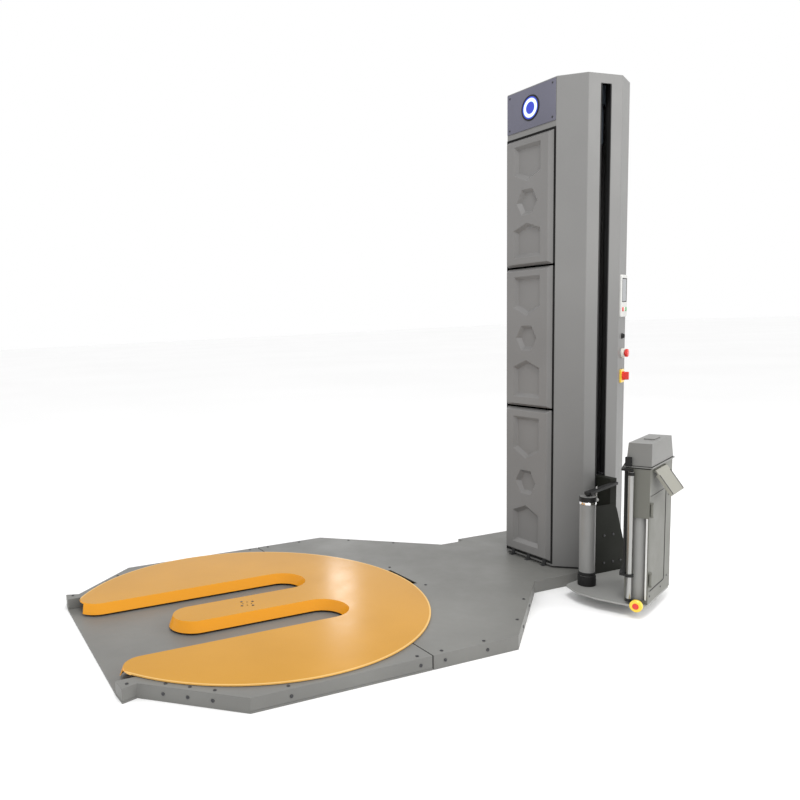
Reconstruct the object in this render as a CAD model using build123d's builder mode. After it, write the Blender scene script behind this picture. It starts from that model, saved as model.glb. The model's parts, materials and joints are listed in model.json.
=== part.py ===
from build123d import *
import os
from math import asin, atan2, cos, degrees, hypot, radians, sin, sqrt

# Turntable pallet wrapper. Millimetres, +Z up, origin on the floor under the turntable's axis,
# +X from the turntable towards the mast. "Near" is the film carriage's side (-Y), "far" is +Y.

os.makedirs("parts", exist_ok=True)

# ---------------------------------------------------------------- driving dimensions
table_radius = 825.0
table_top = 66.0
table_plate = 6.0
base_height = 58.0
floor_thick = 8.0
sheet = 6.0                 # cover sheet of the base
mast_height = 2435.0
mast_wall = 4.0
slot_mid_y = 216.0          # centre line of each fork slot
slot_half_top = 119.0       # half width of a fork slot at the table's top

run_gap = 0.05              # radial gap of a running fit
part_gap = 0.5              # gap between pieces that pass each other
seam_gap = 5.0

# ---------------------------------------------------------------- turntable and base, derived
skirt_run = 20.0            # how far a skirt leans into the slot
skirt_lip = 18.0            # height of the skirt's lower edge
skirt_thick = 4.0
table_under = table_top - table_plate
arm_half = slot_mid_y - slot_half_top
slot_outer = slot_mid_y + slot_half_top
slot_round_x = 0.335 * table_radius
arm_round_x = -0.313 * table_radius
tip_radius = 90.0
tip_y = slot_outer + tip_radius
tip_x = -sqrt((table_radius - tip_radius) ** 2 - tip_y ** 2)
pit_radius = table_radius - 25.0
rim_outer = pit_radius - 5.0
rim_inner = rim_outer - 8.0
rim_bottom = 30.0

base_half = table_radius + 20.0
straight_start_x = 480.0 - table_radius
straight_end_x = table_radius + 5.0
front_x = 85.0 - table_radius
front_half = 492.0 + 0.6 * (table_radius - 825.0)
ear_out_y = front_half + 77.0
ear_out_x = front_x + 6.0
ear_in_x = front_x + 68.0
ear_in_y = front_half + 56.0
seam_x = 0.507 * table_radius
neck_x = table_radius + 525.0
neck_half = 366.0
mast_x = table_radius + 745.0       # front face of the mast
mast_y = -83.0                      # the mast's middle line
block_x = mast_x - 72.0             # where the far side of the neck widens
block_half = 410.0
back_x = mast_x + 510.0

# ---------------------------------------------------------------- mast, derived
mast_front_half = 167.0
mast_side_half = 255.0
mast_back_half = 172.0
mast_corner_x = mast_x + 105.0
mast_bend_x = mast_x + 318.0
mast_back_x = mast_x + 455.0
mast_side_y = mast_y - mast_side_half
foot_top = base_height + 8.0
slot_x = mast_x + 215.0             # middle of the carriage slot
slot_half = 31.0
slot_low = 140.0
slot_high = mast_height - 45.0

# ---------------------------------------------------------------- carriage, derived
carriage_x = mast_x - 40.0
carriage_y = mast_y - 760.0
carriage_turn = 25.0
deck_low = 50.0
deck_top = 58.0
box_u0 = 12.0
box_u1 = 340.0
box_v1 = 96.0
box_top = 657.0
box_wall = 3.0
hood_low = 662.0
hood_top = 766.0


def carriage_xy(u, v):
    """World position of a point given along (u) and across (v) the carriage."""
    turn = radians(carriage_turn)
    return (carriage_x + u * cos(turn) - v * sin(turn), carriage_y + u * sin(turn) + v * cos(turn))


def carriage_plane(z):
    """Horizontal plane at height z with the carriage's own axes."""
    turn = radians(carriage_turn)
    return Plane(origin=(carriage_x, carriage_y, z), x_dir=(cos(turn), sin(turn), 0), z_dir=(0, 0, 1))


def carriage_u(x, y):
    """Carriage coordinates of a world point."""
    turn = radians(carriage_turn)
    dx = x - carriage_x
    dy = y - carriage_y
    return (dx * cos(turn) + dy * sin(turn), -dx * sin(turn) + dy * cos(turn))


def save(builder, label):
    """Labels a finished piece and writes it out."""
    builder.part.label = label
    export_step(builder.part, "parts/" + label + ".step")


def belt_loop(plane, first, second, first_radius, second_radius, thick, width):
    """A closed belt round two pulleys; first and second are the pulley centres in the plane."""
    span = hypot(second[0] - first[0], second[1] - first[1])
    heading = atan2(second[1] - first[1], second[0] - first[0])
    lean = asin((first_radius - second_radius) / span)
    with BuildPart() as loop:
        for grow, mode in ((thick, Mode.ADD), (0.0, Mode.SUBTRACT)):
            r1 = first_radius + grow
            r2 = second_radius + grow
            corners = []
            for centre, radius, side in ((first, r1, 1), (second, r2, 1), (second, r2, -1), (first, r1, -1)):
                angle = heading + side * (radians(90) - lean)
                corners.append((centre[0] + radius * cos(angle), centre[1] + radius * sin(angle)))
            with BuildSketch(plane):
                with BuildLine():
                    Polyline(*corners, close=True)
                make_face()
                with Locations(first):
                    Circle(r1)
                with Locations(second):
                    Circle(r2)
            extrude(amount=width, mode=mode)
    return loop.part


# ---------------------------------------------------------------- base outline
near_outline = [
    (front_x, -front_half),
    (ear_out_x, -ear_out_y),
    (ear_in_x, -ear_in_y),
    (straight_start_x, -base_half),
    (straight_end_x, -base_half),
    (neck_x, -neck_half),
    (back_x, -neck_half),
]
far_outline = [
    (back_x, block_half),
    (block_x, block_half),
    (block_x, neck_half),
    (neck_x, neck_half),
    (straight_end_x, base_half),
    (straight_start_x, base_half),
    (ear_in_x, ear_in_y),
    (ear_out_x, ear_out_y),
    (front_x, front_half),
]
big = 4.0 * table_radius
front_mid_x = seam_x - seam_gap / 2 - big / 2
rear_mid_x = seam_x + seam_gap / 2 + big / 2


def base_outline(mid_x, inset):
    """Sketch of the base's outline, pulled in by inset, kept to one side of the seam."""
    with BuildSketch() as outline:
        with BuildLine():
            Polyline(*near_outline, *far_outline, close=True)
        make_face()
        if inset > 0:
            offset(amount=-inset, kind=Kind.INTERSECTION)
        with Locations((mid_x, 0)):
            Rectangle(big - 2 * inset, big, mode=Mode.INTERSECT)
    return outline.sketch


drive_angle = 45.0
drive_wheel_radius = 60.0
drive_centre = rim_outer + part_gap + drive_wheel_radius
notch_half_angle = 8.0
drive_shaft = 8.0
notch_outer = table_radius + 27.0
near_drive = (drive_centre * cos(radians(drive_angle)), -drive_centre * sin(radians(drive_angle)))
far_drive = (near_drive[0], -near_drive[1])

# ---------------------------------------------------------------- base pieces
with BuildPart() as front_floor:
    with BuildSketch():
        add(base_outline(front_mid_x, 0))
    extrude(amount=floor_thick)
save(front_floor, "front_floor_plate")

with BuildPart() as rear_floor:
    with BuildSketch():
        add(base_outline(rear_mid_x, 0))
    extrude(amount=floor_thick)
    with BuildSketch(Plane.XY.offset(floor_thick)):
        with Locations(near_drive, far_drive):
            Circle(drive_shaft)
    extrude(amount=base_height - sheet - floor_thick)
save(rear_floor, "rear_floor_plate")

for side, label in ((-1, "near_side_box"), (1, "far_side_box")):
    with BuildPart() as side_box:
        with BuildSketch(Plane.XY.offset(floor_thick)):
            add(base_outline(front_mid_x, 0))
            Circle(pit_radius, mode=Mode.SUBTRACT)
            with Locations((0, -side * big / 2)):
                Rectangle(2 * big, big + 2 * front_half, mode=Mode.SUBTRACT)
        extrude(amount=base_height - floor_thick)
        with BuildSketch(Plane.XY.offset(floor_thick)):
            add(base_outline(front_mid_x, sheet))
            Circle(pit_radius + sheet, mode=Mode.SUBTRACT)
            with Locations((0, -side * big / 2)):
                Rectangle(2 * big, big + 2 * front_half + 2 * sheet, mode=Mode.SUBTRACT)
        extrude(amount=base_height - floor_thick - sheet, mode=Mode.SUBTRACT)
    save(side_box, label)

shaft_hole = 14.0
table_motor_x = mast_x + 180.0
table_motor_y = mast_y + 20.0
with BuildPart() as rear_cover:
    with BuildSketch(Plane.XY.offset(floor_thick)):
        add(base_outline(rear_mid_x, 0))
        Circle(pit_radius, mode=Mode.SUBTRACT)
    extrude(amount=base_height - floor_thick)
    with BuildSketch(Plane.XY.offset(floor_thick)):
        add(base_outline(rear_mid_x, sheet))
        Circle(pit_radius + sheet, mode=Mode.SUBTRACT)
    extrude(amount=base_height - floor_thick - sheet, mode=Mode.SUBTRACT)
    for side in (-1, 1):
        with BuildSketch(Plane.XY.offset(floor_thick)):
            with Locations(Location((0, 0), side * drive_angle)):
                with Locations((pit_radius, 0)):
                    Rectangle(4 * sheet, 2 * drive_wheel_radius, mode=Mode.ADD)
        extrude(amount=base_height - floor_thick - sheet, mode=Mode.SUBTRACT)
    with BuildSketch(Plane.XY.offset(base_height - sheet)):
        with Locations(Location((0, 0), -drive_angle)):
            with BuildLine():
                Polyline(
                    (pit_radius - sheet, -pit_radius * sin(radians(notch_half_angle))),
                    (notch_outer, -notch_outer * sin(radians(notch_half_angle))),
                    (notch_outer, notch_outer * sin(radians(notch_half_angle))),
                    (pit_radius - sheet, pit_radius * sin(radians(notch_half_angle))),
                    close=True,
                )
            make_face()
    extrude(amount=sheet, mode=Mode.SUBTRACT)
    with Locations((table_motor_x, table_motor_y, base_height - sheet / 2)):
        Cylinder(shaft_hole, 2 * sheet, mode=Mode.SUBTRACT)
save(rear_cover, "rear_cover")

post_radius = 30.0
hub_radius = 70.0
post_top = 54.0
with BuildPart() as centre_post:
    with BuildSketch(Plane.XY.offset(floor_thick)):
        Circle(hub_radius - 4.0)
    extrude(amount=8.0)
    with BuildSketch(Plane.XY.offset(floor_thick)):
        Circle(post_radius)
    extrude(amount=post_top - floor_thick)
save(centre_post, "centre_post")

# ---------------------------------------------------------------- turntable
skirt_section = [
    (-skirt_thick - 2.0, table_top),
    (0.0, table_top),
    (skirt_run, skirt_lip),
    (skirt_run - skirt_thick, skirt_lip),
    (-skirt_thick - 2.0, table_under),
]


def straight_skirt(x0, x1, y, direction):
    """Sloped slot skirt along X; direction is the side of the fold on which the slot lies."""
    with BuildPart() as run:
        with BuildSketch(Plane(origin=(x0, y, 0), x_dir=(0, direction, 0), z_dir=(direction, 0, 0))):
            with BuildLine():
                Polyline(*skirt_section, close=True)
            make_face()
        extrude(amount=direction * (x1 - x0))
    return run.part


def round_skirt(centre, start, sweep, radius, direction):
    """Sloped slot skirt round a corner; direction is +1 when the slot lies outside the radius."""
    angle = radians(start)
    section = [(radius + direction * step, height) for step, height in skirt_section]
    frame = Plane(
        origin=(centre[0], centre[1], 0),
        x_dir=(cos(angle), sin(angle), 0),
        z_dir=(sin(angle), -cos(angle), 0),
    )
    with BuildPart() as turn:
        with BuildSketch(frame):
            with BuildLine():
                Polyline(*section, close=True)
            make_face()
        revolve(axis=Axis((centre[0], centre[1], 0), (0, 0, 1)), revolution_arc=sweep)
    return turn.part


with BuildSketch() as fork_opening:
    with Locations((slot_round_x - big / 2, 0)):
        Rectangle(big, 2 * slot_outer)
    with Locations((slot_round_x, slot_mid_y), (slot_round_x, -slot_mid_y)):
        Circle(slot_half_top)
    with Locations((arm_round_x + big / 2, 0)):
        Rectangle(big, 2 * arm_half, mode=Mode.SUBTRACT)
    with Locations((arm_round_x, 0)):
        Circle(arm_half, mode=Mode.SUBTRACT)

tip_angle = degrees(atan2(tip_y, tip_x))
with BuildPart() as turntable:
    with BuildSketch(Plane.XY.offset(table_under)) as table_outline:
        Circle(table_radius)
        add(fork_opening.sketch, mode=Mode.SUBTRACT)
        tips = [v for v in table_outline.vertices() if v.X < -0.8 * table_radius and abs(v.Y) < tip_y]
        fillet(tips, radius=tip_radius)
    extrude(amount=table_plate)
    for side in (-1, 1):
        add(straight_skirt(arm_round_x, slot_round_x, side * arm_half, side))
        add(straight_skirt(tip_x, slot_round_x, side * slot_outer, -side))
        add(round_skirt((slot_round_x, side * slot_mid_y), -90, 180, slot_half_top, -1))
    add(round_skirt((arm_round_x, 0), 90, 180, arm_half, 1))
    add(round_skirt((tip_x, tip_y), tip_angle, 270 - tip_angle, tip_radius, 1))
    add(round_skirt((tip_x, -tip_y), 90, 270 - tip_angle, tip_radius, 1))
    with BuildSketch(Plane.XY.offset(skirt_lip - 1.0)):
        Circle(2 * table_radius)
        Circle(rim_inner - 2.0, mode=Mode.SUBTRACT)
    extrude(amount=table_under - skirt_lip + 1.0, mode=Mode.SUBTRACT)
    with BuildSketch(Plane.XY.offset(rim_bottom)):
        Circle(rim_outer)
        Circle(rim_inner, mode=Mode.SUBTRACT)
        with Locations((tip_x - big / 2, 0)):
            Rectangle(big, 4 * table_radius, mode=Mode.SUBTRACT)
    extrude(amount=table_under - rim_bottom)
save(turntable, "turntable_plate")

with BuildPart() as table_hub:
    with BuildSketch(Plane.XY.offset(floor_thick + 10.0)):
        Circle(hub_radius)
        Circle(post_radius + run_gap, mode=Mode.SUBTRACT)
    extrude(amount=table_under - floor_thick - 10.0 - 3.0)
    with BuildSketch(Plane.XY.offset(table_under - 3.0)):
        Circle(hub_radius)
    extrude(amount=3.0)
save(table_hub, "turntable_hub")

hub_screw_circle = 36.0
with BuildPart() as hub_screws:
    with BuildSketch(Plane.XY.offset(table_top)):
        with PolarLocations(hub_screw_circle, 4, start_angle=25):
            Circle(6.0)
        with PolarLocations(hub_screw_circle * 0.55, 4, start_angle=70):
            Circle(3.0)
    extrude(amount=1.5)
save(hub_screws, "hub_screws")

# support wheels that roll on the floor plate, each in a small fork under the disc
wheel_radius = 22.0
wheel_width = 20.0
wheel_axle = 6.0
wheel_track = 0.727 * table_radius
wheel_z = floor_thick + wheel_radius + 0.3
wheel_angles = (-125.0, -35.0, 35.0, 125.0)
fork_gap = wheel_width / 2 + 1.0
fork_thick = 4.0
with BuildPart() as wheel_forks:
    for heading in wheel_angles:
        turn = radians(heading)
        radial = (cos(turn), sin(turn), 0)
        for way in (-1, 1):
            reach = wheel_track + way * (fork_gap + fork_thick / 2) - fork_thick / 2
            tangent = (-sin(turn), cos(turn), 0)
            frame = Plane(origin=(reach * cos(turn), reach * sin(turn), 0), x_dir=tangent, z_dir=radial)
            with BuildSketch(frame):
                with Locations((0, (wheel_z + table_under) / 2)):
                    Rectangle(24.0, table_under - wheel_z)
                with Locations((0, wheel_z)):
                    Circle(12.0)
            extrude(amount=fork_thick)
        start = wheel_track - fork_gap
        frame = Plane(origin=(start * cos(turn), start * sin(turn), wheel_z), z_dir=radial)
        with BuildSketch(frame):
            Circle(wheel_axle)
        extrude(amount=2 * fork_gap)
save(wheel_forks, "wheel_forks")

for index, heading in enumerate(wheel_angles):
    turn = radians(heading)
    start = wheel_track - wheel_width / 2
    frame = Plane(origin=(start * cos(turn), start * sin(turn), wheel_z), z_dir=(cos(turn), sin(turn), 0))
    with BuildPart() as support_wheel:
        with BuildSketch(frame):
            Circle(wheel_radius)
            Circle(wheel_axle + run_gap, mode=Mode.SUBTRACT)
        extrude(amount=wheel_width)
        chamfer(support_wheel.edges().filter_by(GeomType.CIRCLE).sort_by(lambda e: e.radius)[-2:], length=2.0)
    save(support_wheel, "support_wheel_" + str(index + 1))

# ---------------------------------------------------------------- rim drive
tyre_low = 33.0
tyre_high = 49.0
near_belt_low = 11.5
far_belt_low = 20.5
belt_width = 6.0
belt_thick = 4.0
wheel_pulley = 34.0
motor_pulley = 24.0
drives = (("near", near_drive, near_belt_low), ("far", far_drive, far_belt_low))
for side_name, centre, belt_low in drives:
    with BuildPart() as drive_wheel:
        with BuildSketch(Plane.XY.offset(tyre_low)):
            with Locations(centre):
                Circle(drive_wheel_radius)
        extrude(amount=tyre_high - tyre_low)
        with BuildSketch(Plane.XY.offset(belt_low - 1.0)):
            with Locations(centre):
                Circle(wheel_pulley)
        extrude(amount=belt_width + 2.0)
        with BuildSketch(Plane.XY.offset(floor_thick + 2.5)):
            with Locations(centre):
                Circle(drive_shaft + 6.0)
        extrude(amount=tyre_low - floor_thick - 2.5)
        with BuildSketch(Plane.XY.offset(floor_thick + 2.5)):
            with Locations(centre):
                Circle(drive_shaft + run_gap)
        extrude(amount=tyre_high - floor_thick, mode=Mode.SUBTRACT)
    save(drive_wheel, side_name + "_drive_wheel")

with BuildPart() as motor_shaft:
    with BuildSketch(Plane.XY.offset(near_belt_low - 1.0)):
        with Locations((table_motor_x, table_motor_y)):
            Circle(motor_pulley)
    extrude(amount=far_belt_low + belt_width + 2.0 - near_belt_low)
    with BuildSketch(Plane.XY.offset(near_belt_low - 1.0)):
        with Locations((table_motor_x, table_motor_y)):
            Circle(shaft_hole - 4.0)
    extrude(amount=foot_top + 4.0 - near_belt_low)
save(motor_shaft, "table_motor_pulley")

motor_centre = (table_motor_x, table_motor_y)
for side_name, centre, belt_low in drives:
    with BuildPart() as drive_belt:
        add(
            belt_loop(
                Plane.XY.offset(belt_low), centre, motor_centre,
                wheel_pulley + part_gap, motor_pulley + part_gap, belt_thick, belt_width,
            )
        )
    save(drive_belt, side_name + "_drive_belt")

# ---------------------------------------------------------------- mast
mast_outline = [
    (mast_x, mast_y - mast_front_half),
    (mast_corner_x, mast_side_y),
    (mast_bend_x, mast_side_y),
    (mast_back_x, mast_y - mast_back_half),
    (mast_back_x, mast_y + mast_back_half),
    (mast_bend_x, mast_y + mast_side_half),
    (mast_corner_x, mast_y + mast_side_half),
    (mast_x, mast_y + mast_front_half),
]


def mast_section(inset):
    """Sketch of the mast's eight-sided outline, pulled in by inset."""
    with BuildSketch() as section:
        with BuildLine():
            Polyline(*mast_outline, close=True)
        make_face()
        if inset > 0:
            offset(amount=-inset, kind=Kind.INTERSECTION)
    return section.sketch


foot_inset = 12.0
with BuildPart() as mast_foot:
    with BuildSketch(Plane.XY.offset(base_height)):
        add(mast_section(foot_inset))
        with Locations((table_motor_x, table_motor_y)):
            Circle(shaft_hole, mode=Mode.SUBTRACT)
    extrude(amount=foot_top - base_height)
save(mast_foot, "mast_foot_plate")

hatch_half = 128.0
hatch_low = 330.0
hatch_high = mast_height - 255.0
cap_thick = 4.0
with BuildPart() as mast_housing:
    with BuildSketch(Plane.XY.offset(foot_top)):
        add(mast_section(0))
        add(mast_section(mast_wall), mode=Mode.SUBTRACT)
    extrude(amount=mast_height - cap_thick - foot_top)
    with BuildSketch(Plane.XY.offset(mast_height - cap_thick)):
        add(mast_section(0))
    extrude(amount=cap_thick)
    with Locations((slot_x, mast_side_y, (slot_low + slot_high) / 2)):
        Box(2 * slot_half, 6 * mast_wall, slot_high - slot_low, mode=Mode.SUBTRACT)
    with Locations((mast_back_x, mast_y, (hatch_low + hatch_high) / 2)):
        Box(6 * mast_wall, 2 * hatch_half, hatch_high - hatch_low, mode=Mode.SUBTRACT)
save(mast_housing, "mast_housing")

# flat panel at the head of the mast's front, with a round indicator lamp
head_panel_low = mast_height - 198.0
head_panel_high = mast_height - 6.0
head_panel_thick = 4.0
lamp_radius = 55.0
lamp_z = (head_panel_low + head_panel_high) / 2


def front_plane(x):
    """Vertical plane at x that faces the turntable, with local X along -Y and local Y up."""
    return Plane(origin=(x, mast_y, 0), x_dir=(0, -1, 0), z_dir=(-1, 0, 0))


with BuildPart() as head_panel:
    with BuildSketch(front_plane(mast_x)):
        with Locations((0, lamp_z)):
            Rectangle(2 * mast_front_half - 6.0, head_panel_high - head_panel_low)
            Circle(lamp_radius, mode=Mode.SUBTRACT)
    extrude(amount=head_panel_thick)
save(head_panel, "mast_head_panel")

with BuildPart() as lamp:
    with BuildSketch(front_plane(mast_x)):
        with Locations((0, lamp_z)):
            Circle(lamp_radius - part_gap)
    extrude(amount=head_panel_thick + 2.0)
save(lamp, "indicator_lamp")

# three moulded front panels, each with three shallow recesses
panel_proud = 25.0
panel_margin = 11.0         # bare strip of the mast beside a panel
panel_taper = 30.0
panel_joint = 6.0
panel_low = base_height + 30.0
panel_high = head_panel_low - 32.0
panel_total = panel_high - panel_low
recess_half = 92.0
recess_depth = 18.0
recess_taper = 45.0
hexagon_radius = 72.0
# shares of the whole stack taken by the lower, middle and upper panels
panel_shares = (0.367, 0.334, 0.299)
panel_bottom = panel_low
for share, label in zip(panel_shares, ("front_panel_lower", "front_panel_middle", "front_panel_upper")):
    panel_height = share * panel_total - panel_joint
    panel_top = panel_bottom + panel_height
    with BuildPart() as front_panel:
        with BuildSketch(front_plane(mast_x)):
            with Locations((0, (panel_bottom + panel_top) / 2)):
                Rectangle(2 * (mast_front_half - panel_margin), panel_height)
        extrude(amount=panel_proud, taper=panel_taper)
        with BuildSketch(front_plane(mast_x - panel_proud)):
            with BuildLine():
                Polyline(
                    (-recess_half, panel_top - 0.06 * panel_height),
                    (recess_half, panel_top - 0.06 * panel_height),
                    (recess_half, panel_top - 0.28 * panel_height),
                    (0, panel_top - 0.34 * panel_height),
                    (-recess_half, panel_top - 0.28 * panel_height),
                    close=True,
                )
            make_face()
            with Locations((0, (panel_bottom + panel_top) / 2)):
                RegularPolygon(hexagon_radius, 6)
            with BuildLine():
                Polyline(
                    (-recess_half, panel_bottom + 0.07 * panel_height),
                    (recess_half, panel_bottom + 0.07 * panel_height),
                    (recess_half, panel_bottom + 0.29 * panel_height),
                    (0, panel_bottom + 0.34 * panel_height),
                    (-recess_half, panel_bottom + 0.29 * panel_height),
                    close=True,
                )
            make_face()
        extrude(amount=-recess_depth, taper=recess_taper, mode=Mode.SUBTRACT)
    save(front_panel, label)
    panel_bottom = panel_top + panel_joint

# ---------------------------------------------------------------- carriage lift inside the mast
column_radius = 15.0
column_spread = 80.0
column_y = mast_side_y + 58.0
column_low = foot_top
column_high = mast_height - cap_thick
with BuildPart() as columns:
    with BuildSketch(Plane.XY.offset(column_low)):
        with Locations((slot_x - column_spread, column_y), (slot_x + column_spread, column_y)):
            Circle(column_radius)
    extrude(amount=column_high - column_low)
save(columns, "guide_columns")

arm_low = slot_low + 10.0
arm_high = 523.0
slider_front = mast_side_y + 20.0
slider_back = slider_front + 12.0
bush_radius = 26.0
bush_height = 60.0
lift_radius = 28.0
lift_belt_thick = 4.0
lift_belt_width = 24.0
lift_y = mast_side_y + 83.0
lift_low_z = 105.0
lift_high_z = mast_height - 70.0
belt_run_y = lift_y - lift_radius - part_gap - lift_belt_thick / 2
clamp_gap = 0.7
with BuildPart() as slider:
    with Locations((slot_x, (slider_front + slider_back) / 2, (arm_low + arm_high) / 2)):
        Box(2 * column_spread + 30.0, slider_back - slider_front, arm_high - arm_low)
    for way in (-1, 1):
        for low in (arm_low, arm_high - bush_height):
            with BuildSketch(Plane.XY.offset(low)):
                with Locations((slot_x + way * column_spread, column_y)):
                    Circle(bush_radius)
                with Locations((slot_x + way * column_spread, (column_y + slider_back) / 2)):
                    Rectangle(bush_radius, column_y - slider_back)
            extrude(amount=bush_height)
        with BuildSketch(Plane.XY.offset(arm_low - 1.0)):
            with Locations((slot_x + way * column_spread, column_y)):
                Circle(column_radius + run_gap)
        extrude(amount=arm_high - arm_low + 2.0, mode=Mode.SUBTRACT)
    clamp_back = belt_run_y + lift_belt_thick / 2 + clamp_gap + 6.0
    clamp_z = (arm_low + arm_high) / 2
    with Locations((slot_x, (slider_back + clamp_back) / 2, clamp_z)):
        Box(lift_belt_width + 14.0, clamp_back - slider_back, 60.0)
    with Locations((slot_x, belt_run_y, clamp_z)):
        Box(lift_belt_width + 2 * clamp_gap, lift_belt_thick + 2 * clamp_gap, 70.0, mode=Mode.SUBTRACT)
save(slider, "carriage_slider")

lift_frame = Plane(origin=(slot_x - lift_belt_width / 2, 0, 0), x_dir=(0, 1, 0), z_dir=(1, 0, 0))
with BuildPart() as lift_belt:
    add(
        belt_loop(
            lift_frame, (lift_y, lift_low_z), (lift_y, lift_high_z),
            lift_radius + part_gap, lift_radius + part_gap, lift_belt_thick, lift_belt_width,
        )
    )
save(lift_belt, "lift_belt")

lift_shaft = 8.0
cheek_gap = lift_belt_width / 2 + 4.0
cheek_thick = 6.0
for label, centre_z in (("lift_pulley_lower", lift_low_z), ("lift_pulley_upper", lift_high_z)):
    with BuildPart() as lift_pulley:
        with BuildSketch(lift_frame):
            with Locations((lift_y, centre_z)):
                Circle(lift_radius)
        extrude(amount=lift_belt_width)
        with BuildSketch(lift_frame.offset(-10.0)):
            with Locations((lift_y, centre_z)):
                Circle(lift_shaft)
        extrude(amount=lift_belt_width + 20.0)
    save(lift_pulley, label)

with BuildPart() as lift_brackets:
    for centre_z, seat in ((lift_low_z, foot_top), (lift_high_z, column_high)):
        way = 1 if centre_z > seat else -1
        cheek_end = centre_z + way * 20.0
        for across in (-1, 1):
            reach = across * (cheek_gap + cheek_thick / 2)
            with Locations((slot_x + reach, lift_y, (seat + cheek_end) / 2)):
                Box(cheek_thick, 50.0, abs(cheek_end - seat))
        with Locations((slot_x, lift_y, seat + way * 2.0)):
            Box(2 * cheek_gap + 2 * cheek_thick, 50.0, 4.0)
        with Locations(Location((slot_x, lift_y, centre_z), (0, 90, 0))):
            Cylinder(lift_shaft + run_gap, 4 * cheek_gap, mode=Mode.SUBTRACT)
save(lift_brackets, "lift_brackets")

gearbox_depth = 110.0
gearbox_high = 90.0
gearbox_y = column_y + column_radius + 5.0 + gearbox_depth / 2
lift_can_radius = 38.0
lift_can_high = 180.0
lift_can_y = column_y + bush_radius + 5.0 + lift_can_radius
lift_motor_x = slot_x + cheek_gap + cheek_thick + 42.0
with BuildPart() as lift_motor:
    with Locations((lift_motor_x, gearbox_y, lift_high_z)):
        Box(78.0, gearbox_depth, gearbox_high)
    with Locations((lift_motor_x, lift_can_y, lift_high_z - (gearbox_high + lift_can_high) / 2)):
        Cylinder(lift_can_radius, lift_can_high)
save(lift_motor, "lift_gear_motor")

with BuildPart() as table_motor:
    with Locations((table_motor_x, table_motor_y, foot_top + 5.0 + 50.0)):
        Box(120.0, 110.0, 100.0)
    with Locations((table_motor_x, table_motor_y, foot_top + 105.0 + 110.0)):
        Cylinder(52.0, 220.0)
    with Locations((table_motor_x, table_motor_y, foot_top + 2.5)):
        Box(120.0, 110.0, 5.0)
        Cylinder(shaft_hole, 6.0, mode=Mode.SUBTRACT)
save(table_motor, "table_gear_motor")

# ---------------------------------------------------------------- back cover and controls of the mast
hatch_margin = 12.0
hatch_thick = 3.0
with BuildPart() as rear_panel:
    with Locations((mast_back_x + hatch_thick / 2, mast_y, (hatch_low + hatch_high) / 2)):
        Box(hatch_thick, 2 * (hatch_half + hatch_margin), hatch_high - hatch_low + 2 * hatch_margin)
save(rear_panel, "rear_access_panel")

bend_dx = mast_back_x - mast_bend_x
bend_dy = mast_side_half - mast_back_half
bend_length = hypot(bend_dx, bend_dy)


def control_face(z, proud):
    """Plane on the narrow slanted face of the mast, at height z and standing proud of it."""
    out_x = bend_dy / bend_length
    out_y = -bend_dx / bend_length
    return Plane(
        origin=(mast_bend_x + bend_dx / 2 + out_x * proud, mast_side_y + bend_dy / 2 + out_y * proud, z),
        x_dir=(bend_dx, bend_dy, 0),
        z_dir=(out_x, out_y, 0),
    )


operator_z = 1405.0
operator_thick = 9.0
with BuildPart() as operator_panel:
    with BuildSketch(control_face(operator_z, 0)):
        RectangleRounded(132.0, 206.0, 8.0)
    extrude(amount=operator_thick)
    chamfer(operator_panel.faces().sort_by(Axis((0, 0, 0), control_face(0, 0).z_dir))[-1].edges(), length=3.0)
    with BuildSketch(control_face(operator_z + 28.0, operator_thick)):
        RectangleRounded(104.0, 118.0, 4.0)
    extrude(amount=-2.0, mode=Mode.SUBTRACT)
    with BuildSketch(control_face(operator_z - 66.0, operator_thick)):
        with GridLocations(34.0, 0.0, 3, 1):
            Circle(10.0)
    extrude(amount=3.0)
save(operator_panel, "operator_panel")

stop_z = 1122.0
stop_stem = 8.0
stop_travel = 4.0
with BuildPart() as stop_collar:
    with BuildSketch(control_face(stop_z, 0)):
        Circle(24.0)
        Circle(stop_stem + run_gap, mode=Mode.SUBTRACT)
    extrude(amount=14.0)
save(stop_collar, "stop_button_collar")

with BuildPart() as stop_button:
    with BuildSketch(control_face(stop_z, stop_travel + 1.0)):
        Circle(stop_stem)
    extrude(amount=16.0)
    with BuildSketch(control_face(stop_z, 14.0 + stop_travel + 1.0)):
        Circle(20.0)
    extrude(amount=14.0)
    fillet(stop_button.faces().sort_by(Axis((0, 0, 0), control_face(0, 0).z_dir))[-1].edges(), radius=5.0)
save(stop_button, "stop_button")

switch_z = 1008.0
switch_pin = 7.0
with BuildPart() as switch_plate:
    with BuildSketch(control_face(switch_z, 0)):
        RectangleRounded(66.0, 66.0, 5.0)
        Circle(switch_pin + run_gap, mode=Mode.SUBTRACT)
    extrude(amount=8.0)
save(switch_plate, "main_switch_plate")

with BuildPart() as switch_knob:
    with BuildSketch(control_face(switch_z, 1.0)):
        Circle(switch_pin)
    extrude(amount=9.0)
    with BuildSketch(control_face(switch_z, 8.0 + part_gap)):
        Circle(22.0)
    extrude(amount=10.0)
    with BuildSketch(control_face(switch_z, 18.0 + part_gap)):
        SlotOverall(40.0, 13.0, rotation=90)
    extrude(amount=18.0)
save(switch_knob, "main_switch_knob")

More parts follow.
